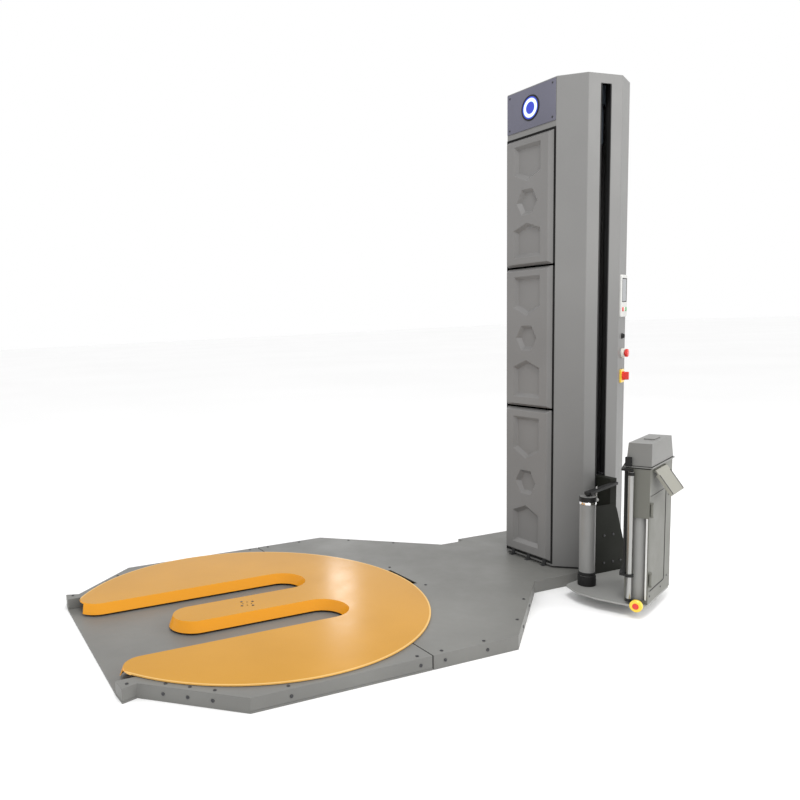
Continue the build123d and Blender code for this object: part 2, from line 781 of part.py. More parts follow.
# ---------------------------------------------------------------- film carriage: deck and back
spindle_u = 134.0
spindle_v = 299.0
spindle_xy = carriage_xy(spindle_u, spindle_v)
back_plate_y = mast_side_y - 87.0
back_plate_thick = 4.0
back_low_x = slot_x - 145.0
back_high_x = slot_x + 85.0
guard_radius = 26.0
guard_width = 20.0
guard_axle = 6.0
guard_v = 30.0
guard_z = 63.0
deck_u0 = -26.0
roller_shaft = 10.0
slow_uv = (127.0, box_v1 / 2)
fast_uv = (slow_uv[0] - 75.0, box_v1 / 2)
with BuildPart() as deck:
    with BuildSketch(carriage_plane(deck_low)) as deck_outline:
        with BuildLine():
            Polyline(
                (deck_u0, 0),
                (box_u1, 0),
                carriage_u(back_high_x, back_plate_y),
                carriage_u(back_low_x, back_plate_y),
                (spindle_u - 59.0, spindle_v + 76.0),
                (spindle_u - 129.0, spindle_v + 1.0),
                (deck_u0, spindle_v - 99.0),
                close=True,
            )
        make_face()
        rounded = [v for v in deck_outline.vertices() if v.Y > carriage_y + 60.0 and v.X < back_low_x - 10.0]
        fillet(rounded, radius=30.0)
        with Locations(slow_uv, fast_uv):
            Circle(roller_shaft + run_gap, mode=Mode.SUBTRACT)
    extrude(amount=deck_top - deck_low)
    with BuildSketch(carriage_plane(deck_top)):
        with Locations((deck_u0 + 9.0, guard_v)):
            Rectangle(18.0, 26.0)
    extrude(amount=guard_z + 8.0 - deck_top)
    along = (cos(radians(carriage_turn)), sin(radians(carriage_turn)), 0)
    axle_start = carriage_xy(deck_u0 - guard_width - 6.0, guard_v)
    with BuildSketch(Plane(origin=(axle_start[0], axle_start[1], guard_z), z_dir=along)):
        Circle(guard_axle)
    extrude(amount=guard_width + 8.0)
save(deck, "carriage_deck")

wheel_start = carriage_xy(deck_u0 - guard_width - 3.0, guard_v)
with BuildPart() as guard_wheel:
    with BuildSketch(Plane(origin=(wheel_start[0], wheel_start[1], guard_z), z_dir=along)):
        Circle(guard_radius)
        Circle(guard_axle + run_gap, mode=Mode.SUBTRACT)
    extrude(amount=guard_width)
    chamfer(guard_wheel.edges().filter_by(GeomType.CIRCLE).sort_by(lambda e: e.radius)[-2:], length=3.0)
save(guard_wheel, "guard_wheel")

back_plate_high = 398.0
block_half_width = 20.0
with BuildPart() as back_plate:
    back_plate_rear = Plane(origin=(0, back_plate_y + back_plate_thick, 0), x_dir=(1, 0, 0), z_dir=(0, -1, 0))
    with BuildSketch(back_plate_rear):
        with BuildLine():
            Polyline(
                (back_low_x, deck_top),
                (back_high_x, deck_top),
                (back_high_x, deck_top + 92.0),
                (back_high_x - 64.0, back_plate_high - 26.0),
                (back_high_x - 78.0, back_plate_high),
                (back_low_x, back_plate_high),
                close=True,
            )
        make_face()
    extrude(amount=back_plate_thick)
    block_front = back_plate_y + back_plate_thick
    with Locations((slot_x, (block_front + slider_front) / 2, (arm_low + arm_high) / 2)):
        Box(2 * block_half_width, slider_front - block_front, arm_high - arm_low)
save(back_plate, "carriage_back_plate")

# ---------------------------------------------------------------- film carriage: pre-stretch box
door_u0 = 24.0
door_u1 = 252.0
door_low = 112.0
door_high = 540.0
door_free_gap = 5.0
door_gap = 2.5
hinge_u = 20.0
hinge_v = -7.0
hinge_pin = 3.0
hinge_levels = (170.0, 480.0)
sleeve_half = 26.0
lug_high = 6.0
pivot_uv = (190.0, box_v1 + 47.0)
pivot_shaft = 6.0
pivot_lugs = (140.0, 600.0)
pivot_lug_high = 8.0
side_window_high = 442.0
flap_u0 = 54.0
flap_width = 166.0
flap_length = 120.0
flap_thick = 14.0
flap_slope = 55.0
flap_axis_v = -7.0
flap_axis_z = box_top - 12.0
flap_pin = 3.0
flap_barrel = 5.0
flap_lug = 5.0
flap_origin = carriage_xy(flap_u0, flap_axis_v)
flap_plane = Plane(
    origin=(flap_origin[0], flap_origin[1], flap_axis_z),
    x_dir=(sin(radians(carriage_turn)), -cos(radians(carriage_turn)), 0),
    z_dir=(-cos(radians(carriage_turn)), -sin(radians(carriage_turn)), 0),
)
with BuildPart() as box:
    with BuildSketch(carriage_plane(deck_top)):
        with Locations(((box_u0 + box_u1) / 2, box_v1 / 2)):
            Rectangle(box_u1 - box_u0, box_v1)
    extrude(amount=box_top - deck_top)
    with BuildSketch(carriage_plane(deck_top)):
        with Locations(((box_u0 + box_u1) / 2, box_v1 / 2)):
            Rectangle(box_u1 - box_u0 - 2 * box_wall, box_v1 - 2 * box_wall)
    extrude(amount=box_top - 2 * box_wall - deck_top, mode=Mode.SUBTRACT)
    with BuildSketch(carriage_plane(door_low)):
        with Locations(((door_u0 + door_u1) / 2, 0)):
            Rectangle(door_u1 - door_u0, 4 * box_wall)
    extrude(amount=door_high - door_low, mode=Mode.SUBTRACT)
    with BuildSketch(carriage_plane(deck_top + 17.0)):
        with Locations((box_u0, box_v1 / 2)):
            Rectangle(4 * box_wall, box_v1 - 26.0)
    extrude(amount=side_window_high - deck_top - 17.0, mode=Mode.SUBTRACT)
    with BuildSketch(carriage_plane(box_top - 4 * box_wall)):
        with Locations(slow_uv, fast_uv):
            Circle(roller_shaft + run_gap)
    extrude(amount=5 * box_wall, mode=Mode.SUBTRACT)
    for level in hinge_levels:
        for low in (level - sleeve_half - part_gap - lug_high, level + sleeve_half + part_gap):
            with BuildSketch(carriage_plane(low)):
                with Locations((hinge_u, hinge_v)):
                    Circle(7.5)
                with Locations((hinge_u - 2.0, hinge_v / 2)):
                    Rectangle(9.0, -hinge_v)
            extrude(amount=lug_high)
        with BuildSketch(carriage_plane(level - sleeve_half - 3.0)):
            with Locations((hinge_u, hinge_v)):
                Circle(hinge_pin)
        extrude(amount=2 * sleeve_half + 6.0)
    with BuildSketch(flap_plane.offset(part_gap + flap_lug)):
        Circle(flap_pin)
    extrude(amount=-(flap_width + 2 * part_gap + 2 * flap_lug))
    for offset_along in (part_gap, -flap_width - part_gap - flap_lug):
        with BuildSketch(flap_plane.offset(offset_along)):
            Circle(flap_barrel)
            with Locations((flap_axis_v / 2, 0)):
                Rectangle(-flap_axis_v + 1.0, 2 * flap_barrel)
        extrude(amount=flap_lug)
    for low in pivot_lugs:
        with BuildSketch(carriage_plane(low)):
            with Locations(pivot_uv):
                Circle(14.0)
            with Locations((pivot_uv[0], (box_v1 + pivot_uv[1]) / 2)):
                Rectangle(28.0, pivot_uv[1] - box_v1)
            with Locations(pivot_uv):
                Circle(pivot_shaft + run_gap, mode=Mode.SUBTRACT)
        extrude(amount=pivot_lug_high)
save(box, "carriage_box")

with BuildPart() as door:
    door_left = door_u0 + door_gap
    door_right = door_u1 - door_free_gap
    with BuildSketch(carriage_plane(door_low + door_gap)):
        with Locations(((door_left + door_right) / 2, box_wall / 2)):
            Rectangle(door_right - door_left, box_wall)
    extrude(amount=door_high - door_low - 2 * door_gap)
    for level in hinge_levels:
        with BuildSketch(carriage_plane(level - sleeve_half)):
            with Locations((hinge_u, hinge_v)):
                Circle(5.5)
            with Locations((hinge_u + 14.0, hinge_v + 3.5)):
                Rectangle(28.0, 3.0)
            with Locations((hinge_u + 26.0, hinge_v / 2)):
                Rectangle(8.0, -hinge_v)
            with Locations((hinge_u, hinge_v)):
                Circle(hinge_pin + run_gap, mode=Mode.SUBTRACT)
        extrude(amount=2 * sleeve_half)
save(door, "carriage_door")

# slanted guard flap above the door, hinged along its top edge
flap_root = 18.0            # where the flap's thick slab begins, from its axis
with BuildPart() as flap:
    with BuildSketch(flap_plane):
        Circle(flap_barrel)
        with Locations(Location((0, 0), -flap_slope)):
            with Locations(((flap_root + flap_length) / 2, flap_barrel - flap_thick / 2)):
                Rectangle(flap_length - flap_root, flap_thick)
            with Locations((flap_root / 2 + 1.0, flap_barrel - 3.0)):
                Rectangle(flap_root + 2.0, 6.0)
        Circle(flap_pin + run_gap, mode=Mode.SUBTRACT)
    extrude(amount=-flap_width)
save(flap, "guard_flap")

# ---------------------------------------------------------------- film carriage: motor hood and rollers
hood_wall = 3.5
hood_flange = 5.0
hood_centre = ((box_u0 + box_u1) / 2 - 1.0, box_v1 / 2)
hood_half = (162.0, box_v1 / 2 + 4.0)                   # half length and half width at the flange
hood_top_half = (hood_half[0] - 18.0, hood_half[1] - 5.0)
with BuildPart() as hood:
    for level, half in ((hood_low, hood_half), (hood_top, hood_top_half)):
        with BuildSketch(carriage_plane(level)):
            with Locations(hood_centre):
                Rectangle(2 * half[0], 2 * half[1])
    loft()
    with BuildSketch(carriage_plane(hood_low)):
        with Locations(hood_centre):
            Rectangle(2 * (hood_half[0] + hood_flange), 2 * (hood_half[1] + hood_flange))
    extrude(amount=hood_flange)
    with BuildSketch(carriage_plane(box_top)):
        with Locations(hood_centre):
            Rectangle(2 * hood_top_half[0], 2 * hood_top_half[1])
    extrude(amount=hood_low - box_top)
    with BuildSketch(carriage_plane(box_top)):
        with Locations(hood_centre):
            Rectangle(2 * (hood_top_half[0] - hood_wall), 2 * (hood_top_half[1] - hood_wall))
    extrude(amount=hood_top - hood_wall - box_top, mode=Mode.SUBTRACT)
    with BuildSketch(carriage_plane(hood_top)):
        with Locations((hood_centre[0] + 20.0, hood_centre[1])):
            RectangleRounded(90.0, 46.0, 8.0)
    extrude(amount=4.0)
save(hood, "motor_hood")

with BuildPart() as connector:
    with BuildSketch(carriage_plane(hood_low + hood_flange)):
        with Locations((hood_centre[0] - hood_half[0] - 5.5, box_v1 - 9.0)):
            Rectangle(11.0, 26.0)
    extrude(amount=40.0)
save(connector, "hood_connector")

stretch_radius = 32.0
stretch_low = deck_top + 6.0
stretch_high = box_top - 12.0
stretch_belt_low = box_top + 10.0
stretch_belt_width = 12.0
slow_pulley = 25.0
fast_pulley = 10.0
for speed_name, centre, pulley in (("slow", slow_uv, slow_pulley), ("fast", fast_uv, fast_pulley)):
    with BuildPart() as stretch_roller:
        with BuildSketch(carriage_plane(stretch_low)):
            with Locations(centre):
                Circle(stretch_radius)
        extrude(amount=stretch_high - stretch_low)
        chamfer(stretch_roller.edges().filter_by(GeomType.CIRCLE), length=3.0)
        with BuildSketch(carriage_plane(deck_low + 1.0)):
            with Locations(centre):
                Circle(roller_shaft)
        extrude(amount=box_top + 28.0 - deck_low)
        with BuildSketch(carriage_plane(stretch_belt_low - 1.0)):
            with Locations(centre):
                Circle(pulley)
        extrude(amount=stretch_belt_width + 2.0)
    save(stretch_roller, speed_name + "_stretch_roller")

with BuildPart() as stretch_belt:
    add(
        belt_loop(
            carriage_plane(stretch_belt_low), slow_uv, fast_uv,
            slow_pulley + part_gap, fast_pulley + part_gap, 3.0, stretch_belt_width,
        )
    )
save(stretch_belt, "pre_stretch_belt")

motor_low = box_top + 32.0
with BuildPart() as stretch_motor:
    with BuildSketch(carriage_plane(motor_low)):
        with Locations(slow_uv):
            RectangleRounded(86.0, 78.0, 6.0)
    extrude(amount=hood_top - 16.0 - motor_low)
    with BuildSketch(carriage_plane(box_top)):
        with Locations(slow_uv):
            with GridLocations(70.0, 66.0, 2, 2):
                Circle(4.0)
    extrude(amount=motor_low - box_top)
save(stretch_motor, "pre_stretch_motor")

# ---------------------------------------------------------------- film carriage: dancer
dancer_radius = 12.0
dancer_uv = (-10.0, 70.0)
elbow_uv = (-6.0, box_v1 + 7.0)
arm_half_width = 9.0
tie_uv = (-7.0, box_v1 - 4.0)          # bar that ties the two arms together
tie_radius = 6.0
lower_arm_z = 180.0
lower_arm_high = 12.0
upper_arm_z = box_top - 8.0
upper_arm_high = 8.0
dancer_low = deck_top + 8.0
dancer_high = upper_arm_z - 3.0
pin_radius = 5.0
with BuildPart() as dancer_arm:
    for low, high in ((lower_arm_z, lower_arm_high), (upper_arm_z, upper_arm_high)):
        for start, end in ((pivot_uv, elbow_uv), (elbow_uv, dancer_uv)):
            run = hypot(end[0] - start[0], end[1] - start[1])
            heading = degrees(atan2(end[1] - start[1], end[0] - start[0]))
            with BuildSketch(carriage_plane(low)):
                with Locations(Location(((start[0] + end[0]) / 2, (start[1] + end[1]) / 2), heading)):
                    SlotCenterToCenter(run, 2 * arm_half_width)
            extrude(amount=high)
    with BuildSketch(carriage_plane(lower_arm_z)):
        with Locations(dancer_uv):
            Circle(dancer_radius + 6.0)
    extrude(amount=lower_arm_high)
    with BuildSketch(carriage_plane(lower_arm_z)):
        with Locations(dancer_uv):
            Circle(dancer_radius + part_gap)
    extrude(amount=lower_arm_high, mode=Mode.SUBTRACT)
    with BuildSketch(carriage_plane(lower_arm_z)):
        with Locations(tie_uv):
            Circle(tie_radius)
    extrude(amount=upper_arm_z - lower_arm_z)
    with BuildSketch(carriage_plane(dancer_high - 30.0)):
        with Locations(dancer_uv):
            Circle(pin_radius)
    extrude(amount=upper_arm_z - dancer_high + 30.0)
    with BuildSketch(carriage_plane(pivot_lugs[0] - 4.0)):
        with Locations(pivot_uv):
            Circle(pivot_shaft)
    extrude(amount=upper_arm_z - pivot_lugs[0] + 4.0)
save(dancer_arm, "dancer_arm")

with BuildPart() as dancer_roller:
    with BuildSketch(carriage_plane(dancer_low)):
        with Locations(dancer_uv):
            Circle(dancer_radius)
    extrude(amount=dancer_high - dancer_low)
    with BuildSketch(carriage_plane(dancer_high - 31.0)):
        with Locations(dancer_uv):
            Circle(pin_radius + run_gap)
    extrude(amount=32.0, mode=Mode.SUBTRACT)
save(dancer_roller, "dancer_roller")

# ---------------------------------------------------------------- film spindle
brake_radius = 40.0
brake_high = 46.0
spindle_radius = 35.0
spindle_top = 484.0
spindle_shaft = 10.0
top_pin = 8.0
top_arm_z = spindle_top + 8.0
top_arm_high = 12.0
with BuildPart() as brake:
    with BuildSketch(carriage_plane(deck_top)):
        with Locations((spindle_u, spindle_v)):
            Circle(brake_radius)
            Circle(spindle_shaft + run_gap, mode=Mode.SUBTRACT)
    extrude(amount=brake_high)
save(brake, "spindle_brake")

with BuildPart() as spindle:
    with BuildSketch(carriage_plane(deck_top + brake_high + 1.0)):
        with Locations((spindle_u, spindle_v)):
            Circle(spindle_radius)
    extrude(amount=spindle_top - deck_top - brake_high - 1.0)
    with BuildSketch(carriage_plane(deck_top + 2.0)):
        with Locations((spindle_u, spindle_v)):
            Circle(spindle_shaft)
    extrude(amount=brake_high)
    with BuildSketch(carriage_plane(spindle_top - 24.0)):
        with Locations((spindle_u, spindle_v)):
            Circle(top_pin + run_gap)
    extrude(amount=25.0, mode=Mode.SUBTRACT)
save(spindle, "film_spindle")

knob_share = 0.34
knob_pin = 3.0
knob_travel = 8.0
arm_root = (slot_x - block_half_width + 14.0, back_plate_y + back_plate_thick)
knob_xy = (
    spindle_xy[0] + knob_share * (arm_root[0] - spindle_xy[0]),
    spindle_xy[1] + knob_share * (arm_root[1] - spindle_xy[1]),
)
with BuildPart() as top_arm:
    with BuildSketch(Plane.XY.offset(top_arm_z)):
        with BuildLine():
            Polyline(
                (spindle_xy[0] - 4.0, spindle_xy[1] + 15.0),
                (spindle_xy[0] + 7.0, spindle_xy[1] - 14.0),
                (slot_x + block_half_width, back_plate_y - 6.0),
                (slot_x + block_half_width, back_plate_y + back_plate_thick),
                (slot_x - block_half_width, back_plate_y + back_plate_thick),
                close=True,
            )
        make_face()
        with Locations(spindle_xy):
            Circle(16.0)
        with Locations(knob_xy):
            Circle(knob_pin + run_gap, mode=Mode.SUBTRACT)
    extrude(amount=top_arm_high)
    with BuildSketch(Plane.XY.offset(spindle_top - 20.0)):
        with Locations(spindle_xy):
            Circle(top_pin)
    extrude(amount=top_arm_z - spindle_top + 20.0)
save(top_arm, "spindle_top_arm")

with BuildPart() as knob:
    with BuildSketch(Plane.XY.offset(top_arm_z - 38.0)):
        with Locations(knob_xy):
            Circle(knob_pin)
    extrude(amount=38.0 + top_arm_high + knob_travel + 2.0)
    with Locations((knob_xy[0], knob_xy[1], top_arm_z - 42.0)):
        Sphere(10.0)
save(knob, "lock_knob")

# ---------------------------------------------------------------- fasteners
small_screw = 5.0
small_head = 2.0
with BuildPart() as carriage_screws:
    outward = (sin(radians(carriage_turn)), -cos(radians(carriage_turn)), 0)
    right_u = door_u1 + 40.0
    below_door = door_low - 22.0
    door_side_spots = ((right_u, 500.0), (right_u, 120.0), (300.0, 610.0))
    for spot_u, spot_z in door_side_spots + ((40.0, below_door), (200.0, below_door)):
        spot = carriage_xy(spot_u, 0)
        with BuildSketch(Plane(origin=(spot[0], spot[1], spot_z), z_dir=outward)):
            Circle(small_screw)
        extrude(amount=small_head)
    for spot_x in (slot_x - 58.0, slot_x, slot_x + 50.0):
        for spot_z in (106.0, 245.0):
            if spot_x > slot_x and spot_z > 200.0:
                continue
            with BuildSketch(Plane(origin=(spot_x, back_plate_y, spot_z), z_dir=(0, -1, 0))):
                Circle(small_screw + 1.0)
            extrude(amount=small_head + 1.0)
save(carriage_screws, "carriage_screws")

# screw heads on the cover plates and on the side walls
screw_radius = 7.0
screw_height = 3.0
screw_inset = 24.0
side_screw_z = 30.0
slope_angle = atan2(base_half - ear_in_y, straight_start_x - ear_in_x)
neck_angle = atan2(base_half - neck_half, neck_x - straight_end_x)
slope_length = hypot(base_half - ear_in_y, straight_start_x - ear_in_x)
front_edge_screws = []
for share in (0.24, 0.46, 0.68):
    edge_x = ear_in_x + share * slope_length * cos(slope_angle)
    edge_y = ear_in_y + share * slope_length * sin(slope_angle)
    front_edge_screws.append((edge_x, edge_y, slope_angle))
front_edge_screws.append((0.225 * -table_radius, base_half, 0.0))
front_edge_screws.append((seam_x - 56.0, base_half, 0.0))
rear_edge_screws = [
    (seam_x + 56.0, base_half, 0.0),
    (0.82 * table_radius, base_half, 0.0),
]
neck_length = hypot(base_half - neck_half, neck_x - straight_end_x)
for share in (0.25, 0.62):
    edge_x = straight_end_x + share * neck_length * cos(neck_angle)
    edge_y = base_half - share * neck_length * sin(neck_angle)
    rear_edge_screws.append((edge_x, edge_y, -neck_angle))
with BuildPart() as cover_screws:
    for side in (-1, 1):
        for edge_x, edge_y, heading in front_edge_screws + rear_edge_screws:
            inward = (sin(heading), -cos(heading))
            top_x = edge_x + inward[0] * screw_inset
            top_y = side * (edge_y + inward[1] * screw_inset)
            outward = (-sin(heading), side * cos(heading), 0)
            if hypot(top_x, top_y) > table_radius + screw_radius:
                with BuildSketch(Plane.XY.offset(base_height)):
                    with Locations((top_x, top_y)):
                        Circle(screw_radius)
                extrude(amount=screw_height)
            with BuildSketch(Plane(origin=(edge_x, side * edge_y, side_screw_z), z_dir=outward)):
                Circle(screw_radius)
            extrude(amount=screw_height)
        with BuildSketch(Plane.XY.offset(base_height)):
            with Locations((table_radius + 46.0, side * 158.0)):
                Circle(screw_radius)
            with Locations((front_x + 34.0, side * (front_half + 44.0))):
                Circle(screw_radius)
        extrude(amount=screw_height)
    with BuildSketch(front_plane(mast_x - head_panel_thick)):
        with Locations((0, lamp_z)):
            with GridLocations(2 * mast_front_half - 44.0, head_panel_high - head_panel_low - 36.0, 2, 2):
                Circle(small_screw)
    extrude(amount=small_head)
    hatch_centre = (mast_back_x + hatch_thick, mast_y, (hatch_low + hatch_high) / 2)
    with BuildSketch(Plane(origin=hatch_centre, x_dir=(0, 1, 0), z_dir=(1, 0, 0))):
        with GridLocations(2 * hatch_half + 8.0, (hatch_high - hatch_low - 40.0) / 3, 2, 4):
            Circle(small_screw)
    extrude(amount=small_head)
save(cover_screws, "cover_screws")
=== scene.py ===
"""Turntable pallet wrapper: finishes, detailed pieces, studio and camera around the fixed frame."""

import json
import logging
import math
from dataclasses import dataclass, field
from enum import Enum

import bmesh
import bpy
from mathutils import Matrix, Vector


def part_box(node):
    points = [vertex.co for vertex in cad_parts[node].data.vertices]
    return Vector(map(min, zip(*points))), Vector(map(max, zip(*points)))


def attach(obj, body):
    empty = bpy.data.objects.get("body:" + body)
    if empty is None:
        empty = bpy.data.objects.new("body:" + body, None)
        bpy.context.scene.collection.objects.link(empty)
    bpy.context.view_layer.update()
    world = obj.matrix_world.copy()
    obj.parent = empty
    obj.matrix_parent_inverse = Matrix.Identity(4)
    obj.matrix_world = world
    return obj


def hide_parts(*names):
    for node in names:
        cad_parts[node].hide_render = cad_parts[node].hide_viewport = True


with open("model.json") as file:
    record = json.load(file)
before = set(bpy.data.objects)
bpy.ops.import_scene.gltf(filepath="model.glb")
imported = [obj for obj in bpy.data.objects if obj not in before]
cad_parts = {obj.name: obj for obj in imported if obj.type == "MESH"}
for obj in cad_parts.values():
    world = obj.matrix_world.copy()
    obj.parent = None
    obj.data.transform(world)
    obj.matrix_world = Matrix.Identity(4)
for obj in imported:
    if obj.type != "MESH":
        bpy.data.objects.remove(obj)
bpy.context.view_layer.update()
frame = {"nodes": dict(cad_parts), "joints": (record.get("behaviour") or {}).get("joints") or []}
log = logging.getLogger("pallet_wrapper")

Colour = tuple[float, float, float]
Point2 = tuple[float, float]
Socket = bpy.types.NodeSocket


class Body(Enum):
    """Moving groups that extra pieces ride on."""

    BASE = "base"
    TURNTABLE = "turntable"
    CARRIAGE = "carriage"
    FLAP = "guard_flap"
    SPINDLE = "film_spindle"
    DANCER_ROLLER = "dancer_roller"
    GUARD_WHEEL = "guard_wheel"


class ScrewDrive(Enum):
    """Recess in a screw's head."""

    CROSS = "cross"
    HEX = "hex"


class Grain(Enum):
    """Direction of the fine lines in a brushed metal, as texture scales along X, Y and Z."""

    ALONG_Z = (260.0, 260.0, 4.0)
    EVEN = (160.0, 160.0, 160.0)


# ------------------------------------------------------------------ finishes
class NodeBench:
    """Small helper that adds and links shader nodes of one material."""

    def __init__(self, name: str) -> None:
        """Start an empty material that holds a shader and its output.

        Args:
            name: name of the new material.
        """
        self.material = bpy.data.materials.new(name)
        self.material.use_nodes = True
        self.tree = self.material.node_tree
        self.tree.nodes.clear()
        self.output = self.add("OutputMaterial")
        self.shader = self.add("BsdfPrincipled")
        self.tree.links.new(self.shader.outputs[0], self.output.inputs[0])
        self.place = self.add("TexCoord").outputs["Object"]

    def add(self, kind: str) -> bpy.types.Node:
        """Add a shader node, named by its kind."""
        return self.tree.nodes.new(f"ShaderNode{kind}")

    def link(self, source: Socket, target: Socket) -> None:
        """Join two sockets."""
        self.tree.links.new(source, target)

    def put(self, name: str, value: Socket | float) -> None:
        """Set an input of the shader to a number, or link a pattern to it.

        Args:
            name: name of the input.
            value: uniform number or pattern.
        """
        target = self.shader.inputs[name]
        if isinstance(value, float):
            target.default_value = value
        else:
            self.link(value, target)

    def stretched(self, scale: tuple[float, float, float]) -> Socket:
        """Object coordinates multiplied by a scale along each axis.

        Args:
            scale: factors along X, Y and Z.

        Returns:
            The mapped coordinates.
        """
        mapping = self.add("Mapping")
        mapping.inputs["Scale"].default_value = scale
        self.link(self.place, mapping.inputs["Vector"])
        return mapping.outputs["Vector"]

    def noise(self, scale: float, detail: float, where: Socket | None = None) -> Socket:
        """Fractal noise value.

        Args:
            scale: size of the pattern, per metre.
            detail: number of finer layers.
            where: coordinates, the object's own when left out.

        Returns:
            The noise value, about 0.3 to 0.7.
        """
        node = self.add("TexNoise")
        node.inputs["Scale"].default_value = scale
        node.inputs["Detail"].default_value = detail
        self.link(where or self.place, node.inputs["Vector"])
        return node.outputs["Fac"]

    def ramp(self, value: Socket, low: float, high: float, to_low: float, to_high: float) -> Socket:
        """Map a value from one range to another, clamped.

        Args:
            value: the value to map.
            low: start of the source range.
            high: end of the source range.
            to_low: result at the start.
            to_high: result at the end.

        Returns:
            The mapped value.
        """
        node = self.add("MapRange")
        ends = {"From Min": low, "From Max": high, "To Min": to_low, "To Max": to_high}
        for name, number in ends.items():
            node.inputs[name].default_value = number
        self.link(value, node.inputs["Value"])
        return node.outputs["Result"]

    def blend(self, share: Socket, first: Colour | Socket, second: Colour) -> Socket:
        """Mix two colours.

        Args:
            share: how much of the second colour, 0 to 1.
            first: colour or colour socket at 0.
            second: colour at 1.

        Returns:
            The mixed colour.
        """
        node = self.add("Mix")
        node.data_type = "RGBA"
        self.link(share, node.inputs["Factor"])
        if isinstance(first, tuple):
            node.inputs["A"].default_value = (*first, 1.0)
        else:
            self.link(first, node.inputs["A"])
        node.inputs["B"].default_value = (*second, 1.0)
        return node.outputs["Result"]

    def math(self, operation: str, first: Socket, second: float | Socket) -> Socket:
        """One arithmetic step.

        Args:
            operation: name of the operation.
            first: first value.
            second: second value, a number or a socket.

        Returns:
            The result.
        """
        node = self.add("Math")
        node.operation = operation
        self.link(first, node.inputs[0])
        if isinstance(second, float):
            node.inputs[1].default_value = second
        else:
            self.link(second, node.inputs[1])
        return node.outputs[0]

    def vector_math(self, operation: str, first: Socket,
                    second: Vector | tuple[float, float, float] | None = None) -> bpy.types.Node:
        """One vector step.

        Args:
            operation: name of the operation.
            first: first vector.
            second: second vector, where the operation has one.

        Returns:
            The node, whose outputs hold the result.
        """
        node = self.add("VectorMath")
        node.operation = operation
        self.link(first, node.inputs[0])
        if second is not None:
            node.inputs[1].default_value = second
        return node

    def distance_from(self, centre: Vector, flat: bool) -> Socket:
        """Distance of the surface from a point or from the vertical line through it.

        Args:
            centre: the point, in metres.
            flat: leave out the height when true.

        Returns:
            The distance in metres.
        """
        apart = self.vector_math("SUBTRACT", self.place, centre)
        scaled = self.vector_math("MULTIPLY", apart.outputs[0], (1.0, 1.0, 0.0 if flat else 1.0))
        return self.vector_math("LENGTH", scaled.outputs[0]).outputs["Value"]

    def part_of(self, source: Socket, axis: str) -> Socket:
        """One component of a vector socket."""
        split = self.add("SeparateXYZ")
        self.link(source, split.inputs[0])
        return split.outputs[axis]

    def bump(self, height: Socket, strength: float, depth: float) -> None:
        """Give the shader a bumpy surface.

        Args:
            height: pattern that raises the surface.
            strength: how much of it shows.
            depth: height of the pattern in metres.
        """
        node = self.add("Bump")
        node.inputs["Strength"].default_value = strength
        node.inputs["Distance"].default_value = depth
        self.link(height, node.inputs["Height"])
        self.link(node.outputs[0], self.shader.inputs["Normal"])


@dataclass(frozen=True)
class Finish:
    """Painted or moulded finish with soft clouding, fine grain and a little handling wear."""

    name: str
    base: Colour
    light: Colour
    roughness: tuple[float, float] = (0.42, 0.55)
    metallic: float = 0.0
    coat: float = 0.0
    cloud: float = 2.2
    grain: float = 650.0
    bump_strength: float = 0.10
    bump_depth: float = 0.0006
    specular: float = 0.35

    def colour(self, bench: NodeBench) -> Socket:
        """Colour pattern of the finish, clouded at two scales."""
        wide = bench.ramp(bench.noise(self.cloud, 3.0), 0.35, 0.65, 0.0, 1.0)
        fine = bench.ramp(bench.noise(self.grain * 0.35, 2.0), 0.3, 0.7, -0.10, 0.10)
        return bench.blend(bench.math("ADD", wide, fine), self.base, self.light)

    def make(self) -> bpy.types.Material:
        """Build the material.

        Returns:
            The finished material.
        """
        bench = NodeBench(self.name)
        grain = bench.noise(self.grain, 3.0)
        bench.put("Base Color", self.colour(bench))
        smudge = bench.noise(self.cloud * 4.0, 5.0)
        bench.put("Roughness", bench.ramp(smudge, 0.3, 0.7, *self.roughness))
        bench.put("Metallic", self.metallic)
        bench.put("Specular IOR Level", self.specular)
        bench.put("Coat Weight", self.coat)
        bench.put("Coat Roughness", 0.12)
        bench.bump(grain, self.bump_strength, self.bump_depth)
        return bench.material

    def material(self) -> bpy.types.Material:
        """The material, built on first use."""
        return bpy.data.materials.get(self.name) or self.make()


@dataclass(frozen=True)
class TableEnamel(Finish):
    """Glossy turntable enamel: pale on top, richer on the sloped skirts as painted light and shade, with a
    painted highlight line at the rim.
    """

    # painted light and shade: the sloped skirts' colour as lit, richer than the top
    skirt_shading_colour: Colour = (0.76, 0.32, 0.022)
    # painted highlight: lighter line along the disc's outer edge
    rim_highlight_colour: Colour = (0.85, 0.58, 0.22)
    rim_radius: float = 0.8165
    rim_fade: float = 0.003

    def colour(self, bench: NodeBench) -> Socket:
        """Top and skirt colours told apart by the slope of the surface, as painted light and shade, with a
        painted highlight at the rim.
        """
        top = super().colour(bench)
        geometry = bench.add("NewGeometry")
        # painted light and shade: sloped faces take the skirt colour
        slope = bench.part_of(geometry.outputs["Normal"], "Z")
        skirt_shading_share = bench.ramp(slope, 0.55, 0.97, 1.0, 0.0)
        painted = bench.blend(skirt_shading_share, top, self.skirt_shading_colour)
        reach = bench.distance_from(Vector((0.0, 0.0, 0.0)), True)
        # painted highlight: lighter ring at the disc's outer edge
        rim_highlight_share = bench.ramp(reach, self.rim_radius, self.rim_radius + self.rim_fade, 0.0, 0.55)
        return bench.blend(rim_highlight_share, painted, self.rim_highlight_colour)


